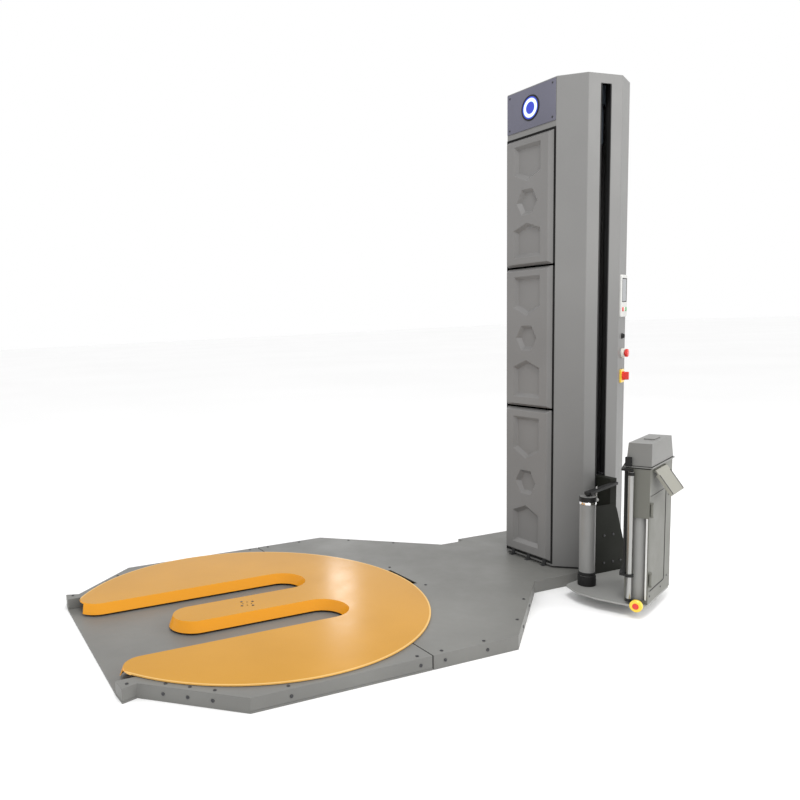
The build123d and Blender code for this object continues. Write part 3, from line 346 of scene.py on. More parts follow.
@dataclass(frozen=True)
class Brushed(Finish):
    """Machined or brushed metal with fine lines."""

    lines: Grain = Grain.EVEN
    metallic: float = 1.0

    def make(self) -> bpy.types.Material:
        """Build the material.

        Returns:
            The finished material.
        """
        bench = NodeBench(self.name)
        streak = bench.noise(1.0, 4.0, bench.stretched(self.lines.value))
        share = bench.ramp(streak, 0.3, 0.7, 0.0, 1.0)
        bench.put("Base Color", bench.blend(share, self.base, self.light))
        bench.put("Roughness", bench.ramp(streak, 0.3, 0.7, *self.roughness))
        bench.put("Metallic", self.metallic)
        bench.bump(streak, self.bump_strength, self.bump_depth)
        return bench.material


@dataclass(frozen=True)
class LampGlow(Finish):
    """Lit round lens: a bright ring round a deep blue face."""

    centre: tuple[float, float, float] = (0.0, 0.0, 0.0)
    radius: float = 0.05
    glow: float = 1.6

    def make(self) -> bpy.types.Material:
        """Build the material.

        Returns:
            The finished material.
        """
        bench = NodeBench(self.name)
        reach = bench.distance_from(Vector(self.centre), False)
        inner = bench.ramp(reach, self.radius * 0.50, self.radius * 0.60, 0.0, 1.0)
        outer = bench.ramp(reach, self.radius * 0.76, self.radius * 0.86, 1.0, 0.0)
        ring = bench.math("MULTIPLY", inner, outer)
        cloud = bench.ramp(bench.noise(60.0, 2.0), 0.3, 0.7, 0.85, 1.0)
        share = bench.math("MULTIPLY", ring, cloud)
        colour = bench.blend(share, self.base, self.light)
        bench.put("Base Color", colour)
        bench.put("Emission Color", colour)
        bench.put("Emission Strength", self.glow)
        bench.put("Roughness", 0.15)
        return bench.material


@dataclass(frozen=True)
class Finishes:
    """Every finish of the machine."""

    table: Finish = TableEnamel(
        "table_enamel", (0.49, 0.232, 0.012), (0.53, 0.255, 0.018), (0.17, 0.24), grain=420.0,
        bump_strength=0.04, specular=0.16)
    base_paint: Finish = Finish("base_paint", (0.158, 0.157, 0.148), (0.185, 0.184, 0.173), (0.40, 0.54))
    mast_paint: Finish = Finish(
        "mast_paint", (0.165, 0.164, 0.161), (0.190, 0.189, 0.185), (0.40, 0.52), cloud=1.2)
    panel_moulding: Finish = Finish(
        "panel_moulding", (0.165, 0.162, 0.159), (0.190, 0.187, 0.184), (0.38, 0.50), cloud=2.0)
    head_paint: Finish = Finish("head_paint", (0.105, 0.105, 0.140), (0.130, 0.130, 0.170), (0.35, 0.45))
    plinth_dark: Finish = Finish("plinth_dark", (0.020, 0.020, 0.022), (0.035, 0.035, 0.037))
    # near-black: real dark joints and gaskets, and painted shade in grooves and gaps
    dark_joint_and_painted_shade: Finish = Finish(
        "dark_joint_and_painted_shade", (0.010, 0.010, 0.010), (0.018, 0.018, 0.018), (0.7, 0.85), specular=0.1)
    deck_paint: Finish = Finish("deck_paint", (0.26, 0.26, 0.25), (0.30, 0.30, 0.29))
    back_dark: Finish = Finish(
        "back_plate_paint", (0.012, 0.013, 0.010), (0.022, 0.023, 0.019), (0.60, 0.75), specular=0.15)
    box_paint: Finish = Finish("box_paint", (0.122, 0.122, 0.106), (0.145, 0.145, 0.126), (0.36, 0.48))
    hood_moulding: Finish = Finish(
        "hood_moulding", (0.150, 0.149, 0.142), (0.178, 0.176, 0.168), (0.30, 0.38))
    flap_moulding: Finish = Finish("flap_moulding", (0.225, 0.220, 0.188), (0.275, 0.270, 0.232), (0.4, 0.55))
    black_plastic: Finish = Finish(
        "black_plastic", (0.010, 0.010, 0.010), (0.018, 0.018, 0.018), (0.45, 0.6), specular=0.2)
    black_metal: Finish = Finish(
        "black_metal", (0.011, 0.011, 0.011), (0.022, 0.022, 0.022), (0.50, 0.62), specular=0.2)
    # black rubber; the door's gap strip also uses it as painted shade
    rubber: Finish = Finish(
        "black_rubber_and_gap_shade", (0.014, 0.014, 0.014), (0.028, 0.028, 0.028), (0.6, 0.8), bump_strength=0.3)
    roller_rubber: Finish = Finish(
        "roller_rubber", (0.26, 0.26, 0.25), (0.31, 0.31, 0.30), (0.5, 0.65), bump_strength=0.3)
    spindle_tube: Finish = Finish("spindle_tube", (0.19, 0.19, 0.185), (0.24, 0.24, 0.234), (0.28, 0.40))
    white_roller: Finish = Finish("white_roller", (0.55, 0.55, 0.54), (0.64, 0.64, 0.62), (0.22, 0.34))
    rolled_aluminium: Finish = Brushed(
        "rolled_aluminium", (0.30, 0.30, 0.29), (0.42, 0.42, 0.41), (0.24, 0.34), lines=Grain.ALONG_Z,
        bump_strength=0.03)
    red_plastic: Finish = Finish(
        "red_plastic", (0.55, 0.020, 0.015), (0.68, 0.035, 0.025), (0.18, 0.28), coat=0.4)
    green_plastic: Finish = Finish(
        "green_plastic", (0.03, 0.28, 0.06), (0.05, 0.36, 0.09), (0.2, 0.3), coat=0.3)
    yellow_plastic: Finish = Finish(
        "yellow_plastic", (0.78, 0.50, 0.03), (0.88, 0.60, 0.05), (0.22, 0.34), coat=0.3)
    pale_plastic: Finish = Finish("pale_plastic", (0.60, 0.58, 0.52), (0.70, 0.68, 0.62), (0.25, 0.4))
    control_plastic: Finish = Finish("control_plastic", (0.50, 0.50, 0.48), (0.58, 0.58, 0.56), (0.3, 0.42))
    screen_glass: Finish = Finish(
        "screen_glass", (0.012, 0.020, 0.030), (0.020, 0.036, 0.050), (0.05, 0.09), coat=0.8,
        bump_strength=0.0)
    motor_cast: Finish = Finish(
        "motor_cast", (0.085, 0.105, 0.130), (0.115, 0.140, 0.165), (0.4, 0.55), grain=300.0,
        bump_strength=0.4)
    wheel_nylon: Finish = Finish("wheel_nylon", (0.62, 0.60, 0.53), (0.72, 0.70, 0.63), (0.35, 0.5))
    steel: Finish = Brushed(
        "machined_steel", (0.42, 0.42, 0.42), (0.60, 0.60, 0.60), (0.28, 0.40), bump_strength=0.05)
    slider_plate: Finish = Brushed(
        "slider_plate", (0.20, 0.20, 0.21), (0.30, 0.30, 0.31), (0.35, 0.5), bump_strength=0.08)
    chrome: Finish = Brushed(
        "chrome_band", (0.72, 0.72, 0.73), (0.86, 0.86, 0.87), (0.06, 0.12), bump_strength=0.01)
    screw: Finish = Brushed(
        "screw_blackened", (0.055, 0.055, 0.058), (0.11, 0.11, 0.115), (0.30, 0.45), bump_strength=0.1)
    floor: Finish = Finish(
        "studio_floor", (0.96, 0.96, 0.96), (0.98, 0.98, 0.98), (0.7, 0.8), cloud=0.3, bump_strength=0.02,
        specular=0.1)


# ------------------------------------------------------------------ mesh work
def turned_to(point: Vector, outward: Vector) -> Matrix:
    """Placement at a point with local Z along a direction.

    Args:
        point: position in metres.
        outward: direction of the local Z axis.

    Returns:
        The placement matrix.
    """
    turn = outward.normalized().to_track_quat("Z", "Y").to_matrix().to_4x4()
    return Matrix.Translation(point) @ turn


def placed(right: Vector, up: Vector, outward: Vector, origin: Vector) -> Matrix:
    """Placement with the given local axes and origin."""
    rows = [(right[row], up[row], outward[row], origin[row]) for row in range(3)]
    return Matrix((*rows, (0.0, 0.0, 0.0, 1.0)))


def rectangle(wide: float, tall: float) -> list[Point2]:
    """Corners of a centred rectangle, in order."""
    signs = ((-1.0, -1.0), (1.0, -1.0), (1.0, 1.0), (-1.0, 1.0))
    return [(x * wide / 2, y * tall / 2) for x, y in signs]


def ring_points(radii: list[float], height: float) -> list[Vector]:
    """Closed ring of points round local Z, evenly spaced, one for each radius."""
    points = []
    for side, radius in enumerate(radii):
        turn = 2.0 * math.pi * side / len(radii)
        points.append(Vector((radius * math.cos(turn), radius * math.sin(turn), height)))
    return points


def upright(node: str) -> tuple[Matrix, float, float, float]:
    """Vertical axis, radius, foot height and top height of a round CAD node that stands upright."""
    low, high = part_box(node)
    centre = (low + high) / 2.0
    return Matrix.Translation((centre.x, centre.y, 0.0)), (high.x - low.x) / 2.0, low.z, high.z


class Workpiece:
    """Mesh being built, which becomes one named piece on a body."""

    def __init__(self, name: str) -> None:
        """Start an empty mesh.

        Args:
            name: name of the piece.
        """
        self.name = name
        self.mesh = bmesh.new()

    def prism(self, outline: list[Point2], low: float, high: float, place: Matrix) -> None:
        """Add a solid with a flat outline.

        Args:
            outline: corners in order, seen from above.
            low: height of the lower face.
            high: height of the upper face.
            place: placement of the outline's plane.
        """
        bottom = [self.mesh.verts.new(place @ Vector((x, y, low))) for x, y in outline]
        top = [self.mesh.verts.new(place @ Vector((x, y, high))) for x, y in outline]
        self.mesh.faces.new(reversed(bottom))
        self.mesh.faces.new(top)
        for index in range(len(outline)):
            after = (index + 1) % len(outline)
            self.mesh.faces.new((bottom[index], bottom[after], top[after], top[index]))

    def turned(self, profile: list[Point2], place: Matrix, sides: int = 40) -> None:
        """Add a solid of revolution round local Z.

        Args:
            profile: radius and height of each ring, from one end to the other; zero radius closes it,
                and a profile that starts and ends off the axis is closed on itself as a ring.
            place: placement of the axis.
            sides: number of segments round the axis.
        """
        rings: list[list[bmesh.types.BMVert]] = []
        for radius, height in profile:
            if radius < 1e-7:
                rings.append([self.mesh.verts.new(place @ Vector((0.0, 0.0, height)))])
                continue
            points = ring_points([radius] * sides, height)
            rings.append([self.mesh.verts.new(place @ point) for point in points])
        pairs = list(zip(rings, rings[1:]))
        if len(rings[0]) > 1 and len(rings[-1]) > 1:
            pairs.append((rings[-1], rings[0]))
        for first, second in pairs:
            for side in range(sides):
                after = (side + 1) % sides
                corners = [first[side % len(first)], first[after % len(first)]]
                corners += [second[after % len(second)], second[side % len(second)]]
                distinct = list(dict.fromkeys(corners))
                if len(distinct) > 2:
                    self.mesh.faces.new(distinct)

    def band(self, path: list[Vector], across: Vector, width: float, thick: float,
             closed: bool = False) -> None:
        """Add a flat strip that follows a path.

        Args:
            path: points along the strip's middle line.
            across: direction out of the surface that the strip lies on.
            width: width of the strip.
            thick: how far it stands out.
            closed: join the last point to the first.
        """
        sections = []
        count = len(path)
        for index, point in enumerate(path):
            before = path[index - 1] if closed or index > 0 else point
            after = path[(index + 1) % count] if closed or index < count - 1 else point
            incoming = (point - before).normalized()
            outgoing = (after - point).normalized()
            heading = (incoming + outgoing).normalized()
            side = heading.cross(across).normalized()
            lean = side.dot(outgoing.cross(across).normalized()) if outgoing.length > 0.5 else 1.0
            steep = max(0.5, lean)
            half = side * (width / 2.0 / steep)
            rise = across * thick
            offsets = (-half, half, half + rise, -half + rise)
            sections.append([self.mesh.verts.new(point + offset) for offset in offsets])
        for index in range(count if closed else count - 1):
            first, second = sections[index], sections[(index + 1) % count]
            for corner in range(4):
                after = (corner + 1) % 4
                self.mesh.faces.new((first[corner], first[after], second[after], second[corner]))
        if not closed:
            self.mesh.faces.new(reversed(sections[0]))
            self.mesh.faces.new(sections[-1])

    def screw_head(self, place: Matrix, radius: float, height: float, drive: ScrewDrive) -> None:
        """Add a domed or cylindrical screw head with its drive recess.

        Args:
            place: placement with local Z out of the surface.
            radius: radius of the head.
            height: height of the head.
            drive: recess in the head.
        """
        sides = 24
        if drive is ScrewDrive.HEX:
            shares = ((1.0, 0.0), (1.0, 0.80), (0.90, 1.0), (0.60, 1.0), (0.56, 1.0))
            turns = [2.0 * math.pi * side / sides + math.pi / 6 for side in range(sides)]
            reaches = [0.46 / max(math.cos(turn % (math.pi / 3) - math.pi / 6), 0.1) * 0.9 for turn in turns]
        else:
            shares = ((1.0, 0.0), (1.0, 0.35), (0.93, 0.70), (0.72, 0.93), (0.46, 1.0))
            reaches = [(0.40, 0.34, 0.14, 0.14, 0.14, 0.34)[side % 6] for side in range(sides)]
        rings = [ring_points([share * radius] * sides, rise * height) for share, rise in shares]
        rings.append(ring_points([reach * radius for reach in reaches], height))
        rings.append(ring_points([reach * 0.8 * radius for reach in reaches], height * 0.35))
        verts = [[self.mesh.verts.new(place @ point) for point in ring] for ring in rings]
        for first, second in zip(verts, verts[1:]):
            for side in range(sides):
                after = (side + 1) % sides
                self.mesh.faces.new((first[side], first[after], second[after], second[side]))
        self.mesh.faces.new(reversed(verts[0]))
        self.mesh.faces.new(verts[-1])

    def finish(self, body: Body, finish: Finish, bevel: float = 0.0, stands_for: tuple[str, ...] = (),
               slot: str | None = None) -> bpy.types.Object:
        """Turn the mesh into a piece that rides on a body.

        Args:
            body: body that the piece moves with.
            finish: finish of the piece.
            bevel: width of the rounded edges, none when zero.
            stands_for: CAD nodes that this piece replaces.
            slot: not used.

        Returns:
            The new object.
        """
        bmesh.ops.recalc_face_normals(self.mesh, faces=self.mesh.faces[:])
        data = bpy.data.meshes.new(self.name)
        self.mesh.to_mesh(data)
        self.mesh.free()
        for polygon in data.polygons:
            polygon.use_smooth = True
        data.materials.append(finish.material())
        piece = bpy.data.objects.new(self.name, data)
        bpy.context.scene.collection.objects.link(piece)
        soften(piece, bevel if bevel > 0.0 else 0.0002)
        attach(piece, body.value)
        if stands_for:
            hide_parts(*stands_for)
        log.info("built %s on %s", self.name, body.value)
        return piece


def soften(piece: bpy.types.Object, width: float, weld: bool = False, segments: int = 2) -> None:
    """Round the edges of a piece and even out its shading.

    Args:
        piece: object to change.
        width: width of the rounding in metres.
        weld: join coinciding points first.
        segments: steps across each rounded edge.
    """
    if weld:
        join = piece.modifiers.new("join", "WELD")
        join.merge_threshold = 0.00001
    edge = piece.modifiers.new("edges", "BEVEL")
    edge.width = width
    edge.segments = segments
    edge.limit_method = "ANGLE"
    edge.angle_limit = math.radians(28.0)
    edge.harden_normals = True
    edge.use_clamp_overlap = True
    even = piece.modifiers.new("shading", "WEIGHTED_NORMAL")
    even.keep_sharp = False
    even.weight = 80


def dress(node: str, finish: Finish, rounding: float = 0.0, segments: int = 2) -> None:
    """Give a CAD node its finish and, where asked, rounded edges.

    Args:
        node: name of the node.
        finish: its finish.
        rounding: width of the rounded edges in metres, none when zero.
        segments: steps across each rounded edge.
    """
    piece = frame["nodes"][node]
    piece.data.materials.clear()
    piece.data.materials.append(finish.material())
    if rounding > 0.0:
        custom = piece.data.attributes.get("custom_normal")
        if custom is not None:
            piece.data.attributes.remove(custom)
        for polygon in piece.data.polygons:
            polygon.use_smooth = True
        soften(piece, rounding, weld=True, segments=segments)
    log.info("dressed %s with %s", node, finish.name)


@dataclass
class Head:
    """One screw head of a CAD group."""

    centre: Vector
    outward: Vector
    radius: float
    height: float


@dataclass
class OutwardRule:
    """Tells which way out of the machine is, seen from a point on it."""

    inside: Vector
    mast_inside: Vector
    mast_front: float
    always: Vector | None = None

    def direction(self, point: Vector, axis: Vector) -> Vector:
        """Outward direction at a point.

        Args:
            point: place on the machine.
            axis: the head's axis, either way round.

        Returns:
            A direction that points out of the machine.
        """
        if abs(axis.z) > 0.9:
            return Vector((0.0, 0.0, 1.0))
        if self.always is not None:
            return self.always
        inside = self.mast_inside if point.x > self.mast_front and point.z > 0.2 else self.inside
        away = point - inside
        away.z = 0.0
        return away


def screw_heads(node: str, outward_at: OutwardRule) -> list[Head]:
    """Find the separate heads in a CAD node.

    Args:
        node: CAD node that holds a group of plain heads.
        outward_at: rule that tells which way a head points.

    Returns:
        One entry per head, with its seat's centre.
    """
    mesh = bmesh.new()
    mesh.from_mesh(frame["nodes"][node].data)
    bmesh.ops.remove_doubles(mesh, verts=mesh.verts[:], dist=1e-6)
    mesh.verts.index_update()
    mesh.faces.index_update()
    left = set(mesh.verts)
    heads = []
    while left:
        start = left.pop()
        island, queue = {start}, [start]
        while queue:
            for edge in queue.pop().link_edges:
                for vert in edge.verts:
                    if vert in left:
                        left.discard(vert)
                        island.add(vert)
                        queue.append(vert)
        faces = {face for vert in island for face in vert.link_faces}
        flat = max(faces, key=lambda face: (round(face.calc_area(), 9), face.index))
        axis = Vector([round(value, 5) for value in flat.normal]).normalized()
        points = [vert.co for vert in sorted(island, key=lambda vert: vert.index)]
        centre = sum(points, Vector()) / len(points)
        if outward_at.direction(centre, axis).dot(axis) < 0.0:
            axis = -axis
        arms = [point - centre for point in points]
        along = [arm.dot(axis) for arm in arms]
        radius = max((arm - axis * arm.dot(axis)).length for arm in arms)
        heads.append(Head(centre + axis * min(along), axis, radius, max(along) - min(along)))
    mesh.free()
    heads.sort(key=lambda head: tuple(round(value, 4) for value in head.centre))
    return heads


def recess_heads(name: str, node: str, rule: OutwardRule, drive: ScrewDrive, body: Body, finish: Finish,
                 slot: str) -> None:
    """Build recessed screw heads in place of a CAD group of plain ones.

    Args:
        name: name of the new piece.
        node: CAD node with the plain heads.
        rule: rule that tells which way a head points.
        drive: recess in each head.
        body: body that the heads move with.
        finish: finish of the heads.
        slot: name handed on to the piece's finish step.
    """
    work = Workpiece(name)
    for head in screw_heads(node, rule):
        work.screw_head(turned_to(head.centre, head.outward), head.radius, head.height, drive)
    work.finish(body, finish, stands_for=(node,), slot=slot)


# ------------------------------------------------------------------ sub-assemblies
@dataclass
class BaseAssembly:
    """Floor base with its cover plates, rim drive and screws."""

    finishes: Finishes
    rounding: float = 0.0022
    painted: tuple[str, ...] = ("near_side_box", "far_side_box", "rear_cover")
    floors: tuple[str, ...] = ("front_floor_plate", "rear_floor_plate")
    belts: tuple[str, ...] = ("near_drive_belt", "far_drive_belt", "lift_belt", "pre_stretch_belt")
    drive_wheels: tuple[str, ...] = ("near_drive_wheel", "far_drive_wheel")
    machined: tuple[str, ...] = ("centre_post", "turntable_hub", "wheel_forks", "table_motor_pulley")
    pit_radius: float = 0.800
    gasket_half: float = 0.0022

    def dress(self) -> None:
        """Paint the plates and finish the drive."""
        for node in self.painted:
            dress(node, self.finishes.base_paint, self.rounding)
        for node in self.floors:
            dress(node, self.finishes.base_paint)
        for node in self.belts:
            dress(node, self.finishes.rubber)
        for node in self.drive_wheels:
            dress(node, self.finishes.rubber, 0.002)
        for node in self.machined:
            dress(node, self.finishes.steel)
        for number in range(1, 5):
            dress(f"support_wheel_{number}", self.finishes.wheel_nylon)
        dress("table_gear_motor", self.finishes.motor_cast, 0.004)

    def build(self) -> None:
        """Put recessed pan heads in place of the plain screw heads."""
        low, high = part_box("mast_housing")
        rule = OutwardRule(Vector((0.4, 0.0, 0.0)), (low + high) / 2.0, low.x - 0.05)
        recess_heads("cover_screw_heads", "cover_screws", rule, ScrewDrive.CROSS, Body.BASE,
                     self.finishes.screw, "screw_dark")
        self._seam_gasket()

    def _seam_gasket(self) -> None:
        """Dark rubber strips in the joint between the front and rear covers."""
        front_low, front_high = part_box("near_side_box")
        rear_low, rear_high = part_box("rear_cover")
        middle = (front_high.x + rear_low.x) / 2.0
        outer = rear_high.y - 0.004
        inner = math.sqrt(self.pit_radius ** 2 - front_high.x ** 2) + 0.006
        half = self.gasket_half
        outline = [(-half, inner), (half, inner), (half, outer), (-half, outer)]
        work = Workpiece("seam_gasket")
        for turn in (0.0, math.pi):
            place = Matrix.Translation((middle, 0.0, 0.0)) @ Matrix.Rotation(turn, 4, "Z")
            work.prism(outline, 0.002, front_high.z - 0.003, place)
        work.finish(Body.BASE, self.finishes.dark_joint_and_painted_shade, 0.0004)


@dataclass
class TurntableAssembly:
    """Slotted turntable with its hub screws."""

    finishes: Finishes
    rounding: float = 0.0018

    def dress(self) -> None:
        """Enamel the turntable."""
        dress("turntable_plate", self.finishes.table, self.rounding, segments=3)

    def build(self) -> None:
        """Put socket heads in place of the plain hub screws."""
        rule = OutwardRule(Vector(), Vector(), 99.0)
        recess_heads("hub_screw_heads", "hub_screws", rule, ScrewDrive.HEX, Body.TURNTABLE, self.finishes.screw,
                     "hub_screw_steel")


@dataclass
class MastAssembly:
    """Mast with moulded front panels, head panel, carriage slot and lift."""

    finishes: Finishes
    corner_rounding: float = 0.012
    panel_rounding: float = 0.0030
    groove_width: float = 0.021
    groove_proud: float = 0.0022
    slot_half: float = 0.031
    slot_foot: float = 0.142
    slot_top_gap: float = 0.047
    trim_width: float = 0.005
    bracket_half: float = 0.011
    bracket_shares: tuple[float, ...] = (0.14, 0.50, 0.86)
    panels: tuple[str, ...] = ("front_panel_lower", "front_panel_middle", "front_panel_upper")
    low: Vector = field(init=False)
    high: Vector = field(init=False)

    def __post_init__(self) -> None:
        """Read the mast's extent from the frame."""
        self.low, self.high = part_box("mast_housing")

    def dress(self) -> None:
        """Paint the mast and finish what it holds."""
        lamp_low, lamp_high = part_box("indicator_lamp")
        middle = (lamp_low + lamp_high) / 2.0
        radius = (lamp_high.z - lamp_low.z) / 2.0
        lamp = LampGlow("lamp_glow", (0.010, 0.020, 0.22), (0.55, 0.72, 1.0), centre=tuple(middle),
                        radius=radius)
        dress("mast_housing", self.finishes.mast_paint, self.corner_rounding, segments=4)
        dress("mast_foot_plate", self.finishes.plinth_dark, 0.001)
        for node in self.panels:
            dress(node, self.finishes.panel_moulding, self.panel_rounding, segments=3)
        dress("mast_head_panel", self.finishes.head_paint, 0.0015)
        dress("indicator_lamp", lamp)
        dress("rear_access_panel", self.finishes.mast_paint, 0.0012)
        dress("guide_columns", self.finishes.black_metal)
        dress("lift_brackets", self.finishes.steel)
        for node in ("lift_pulley_lower", "lift_pulley_upper"):
            dress(node, self.finishes.steel)
        dress("lift_gear_motor", self.finishes.motor_cast, 0.003)

    def build(self) -> None:
        """Build the trims, the painted shade of the grooves and the brackets."""
        self._panel_grooves()
        self._slot_trim()
        self._plinth_brackets()
        self._lamp_bezel()

    def _panel_grooves(self) -> None:
        """Near-black band round each front panel: painted shade of the groove between the panels and the mast.
        """
        work = Workpiece("panel_groove_shade")
        for node in self.panels:
            low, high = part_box(node)
            corners = ((low.y, low.z), (high.y, low.z), (high.y, high.z), (low.y, high.z))
            path = [Vector((self.low.x, y, z)) for y, z in corners]
            # painted shade of the groove round the panel
            work.band(path, Vector((-1.0, 0.0, 0.0)), self.groove_width, self.groove_proud, closed=True)
        work.finish(Body.BASE, self.finishes.dark_joint_and_painted_shade, 0.0004)

    def _slot_trim(self) -> None:
        """Rubber edge trim on both sides of the carriage slot."""
        slider_low, slider_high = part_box("carriage_slider")
        middle = (slider_low.x + slider_high.x) / 2.0
        work = Workpiece("slot_edge_trim")
        for side in (-1.0, 1.0):
            x = middle + side * (self.slot_half - self.trim_width / 2.0 + 0.001)
            heights = (self.slot_foot, 1.2, self.high.z - self.slot_top_gap)
            path = [Vector((x, self.low.y + 0.004, z)) for z in heights]
            work.band(path, Vector((0.0, -1.0, 0.0)), self.trim_width, 0.0055)
        work.finish(Body.BASE, self.finishes.rubber, 0.0008)

    def _plinth_brackets(self) -> None:
        """Small angle brackets that hold the lowest panel to the plinth."""
        low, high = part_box("front_panel_lower")
        foot_low, foot_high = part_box("mast_foot_plate")
        work = Workpiece("panel_brackets")
        for share in self.bracket_shares:
            y = low.y + share * (high.y - low.y)
            x = self.low.x - 0.001
            outline = [
                (-0.022, foot_low.z), (0.0, foot_low.z), (0.0, low.z + 0.010), (-0.003, low.z + 0.010),
                (-0.003, foot_low.z + 0.003), (-0.022, foot_low.z + 0.003),
            ]
            place = Matrix(((1, 0, 0, x), (0, 0, -1, y), (0, 1, 0, 0), (0, 0, 0, 1)))
            work.prism(outline, -self.bracket_half, self.bracket_half, place)
        work.finish(Body.BASE, self.finishes.plinth_dark, 0.0006)

    def _lamp_bezel(self) -> None:
        """Turned ring round the indicator lamp."""
        low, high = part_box("indicator_lamp")
        radius = (high.z - low.z) / 2.0
        seat = Vector((low.x + 0.002, (low.y + high.y) / 2.0, (low.z + high.z) / 2.0))
        work = Workpiece("lamp_bezel")
        section = ((-0.002, 0.0), (0.006, 0.0), (0.005, 0.003), (0.001, 0.0045), (-0.002, 0.003))
        profile = [(radius + grow, height) for grow, height in section]
        work.turned(profile, turned_to(seat, Vector((-1.0, 0.0, 0.0))), 64)
        work.finish(Body.BASE, self.finishes.black_plastic, 0.0004)


@dataclass
class ControlsAssembly:
    """Operator panel, stop button and main switch on the mast's slanted face."""

    finishes: Finishes
    screen: Point2 = (0.098, 0.112)
    screen_up: float = 0.028
    buttons_down: float = 0.066
    button_step: float = 0.034
    button_radius: float = 0.0112
    collar_half: float = 0.007
    key_height: float = 1.207
    outward: Vector = field(init=False)
    along: Vector = field(init=False)

    def __post_init__(self) -> None:
        """Read the slanted face's direction from the main switch's joint."""
        joint = next(item for item in frame["joints"] if item["name"] == "main_switch_turn")
        self.outward = Vector(joint["axis"]).normalized()
        self.along = Vector((-self.outward.y, self.outward.x, 0.0))

    def dress(self) -> None:
        """Finish the CAD nodes."""
        dress("operator_panel", self.finishes.control_plastic, 0.0008)
        dress("stop_button_collar", self.finishes.pale_plastic, 0.0015)
        dress("stop_button", self.finishes.red_plastic)
        dress("main_switch_plate", self.finishes.yellow_plastic, 0.001)
        dress("main_switch_knob", self.finishes.red_plastic, 0.0012)

    def _place(self, up: float, proud: float) -> Matrix:
        """Placement on the panel with local X across it and local Y up.

        Args:
            up: height above the panel's middle.
            proud: distance out of the mast's face.

        Returns:
            The placement matrix.
        """
        low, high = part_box("operator_panel")
        middle = (low + high) / 2.0
        depth = max((corner - middle).dot(self.outward) for corner in self._panel_points())
        origin = middle + self.outward * (depth + proud) + Vector((0.0, 0.0, up))
        return placed(-self.along, Vector((0.0, 0.0, 1.0)), self.outward, origin)

    def _panel_points(self) -> list[Vector]:
        """Corner points of the operator panel's mesh."""
        return [vert.co for vert in frame["nodes"]["operator_panel"].data.vertices]

    def build(self) -> None:
        """Build the screen and the push-button caps."""
        work = Workpiece("operator_screen")
        work.prism(rectangle(*self.screen), -0.0045, -0.0034, self._place(self.screen_up, 0.0))
        work.finish(Body.BASE, self.finishes.screen_glass, 0.0004)
        caps = (
            (-1.0, "start_button_cap", self.finishes.green_plastic),
            (0.0, "pause_button_cap", self.finishes.pale_plastic),
            (1.0, "halt_button_cap", self.finishes.red_plastic),
        )
        dome = ((0.0, 0.0), (1.0, 0.0), (1.0, 0.0022), (0.9, 0.0036), (0.5, 0.0042), (0.0, 0.0044))
        profile = [(self.button_radius * share, height) for share, height in dome]
        row = self._place(-self.buttons_down, -0.003)
        for step, name, finish in caps:
            cap = Workpiece(name)
            cap.turned(profile, row @ Matrix.Translation((step * self.button_step, 0.0, 0.0)), 32)
            cap.finish(Body.BASE, finish)
        self._panel_edge()
        self._key_switch()

    def _panel_edge(self) -> None:
        """Thin dark gasket round the operator panel's screen."""
        work = Workpiece("screen_gasket")
        place = self._place(self.screen_up, -0.0034)
        path = [place @ Vector((x, y, 0.0)) for x, y in rectangle(*self.screen)]
        work.band(path, self.outward, 0.003, 0.0008, closed=True)
        work.finish(Body.BASE, self.finishes.dark_joint_and_painted_shade, 0.0002)

    def _key_switch(self) -> None:
        """Small round key switch between the operator panel and the stop button."""
        low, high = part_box("stop_button_collar")
        seat = (low + high) / 2.0 - self.outward * self.collar_half
        seat.z = self.key_height
        work = Workpiece("key_switch")
        flange = [(0.0, 0.0), (0.014, 0.0), (0.014, 0.004), (0.011, 0.006)]
        barrel = [(0.010, 0.013), (0.007, 0.014), (0.0, 0.014)]
        work.turned(flange + barrel, turned_to(seat, self.outward), 40)
        work.finish(Body.BASE, self.finishes.black_plastic, 0.0004)


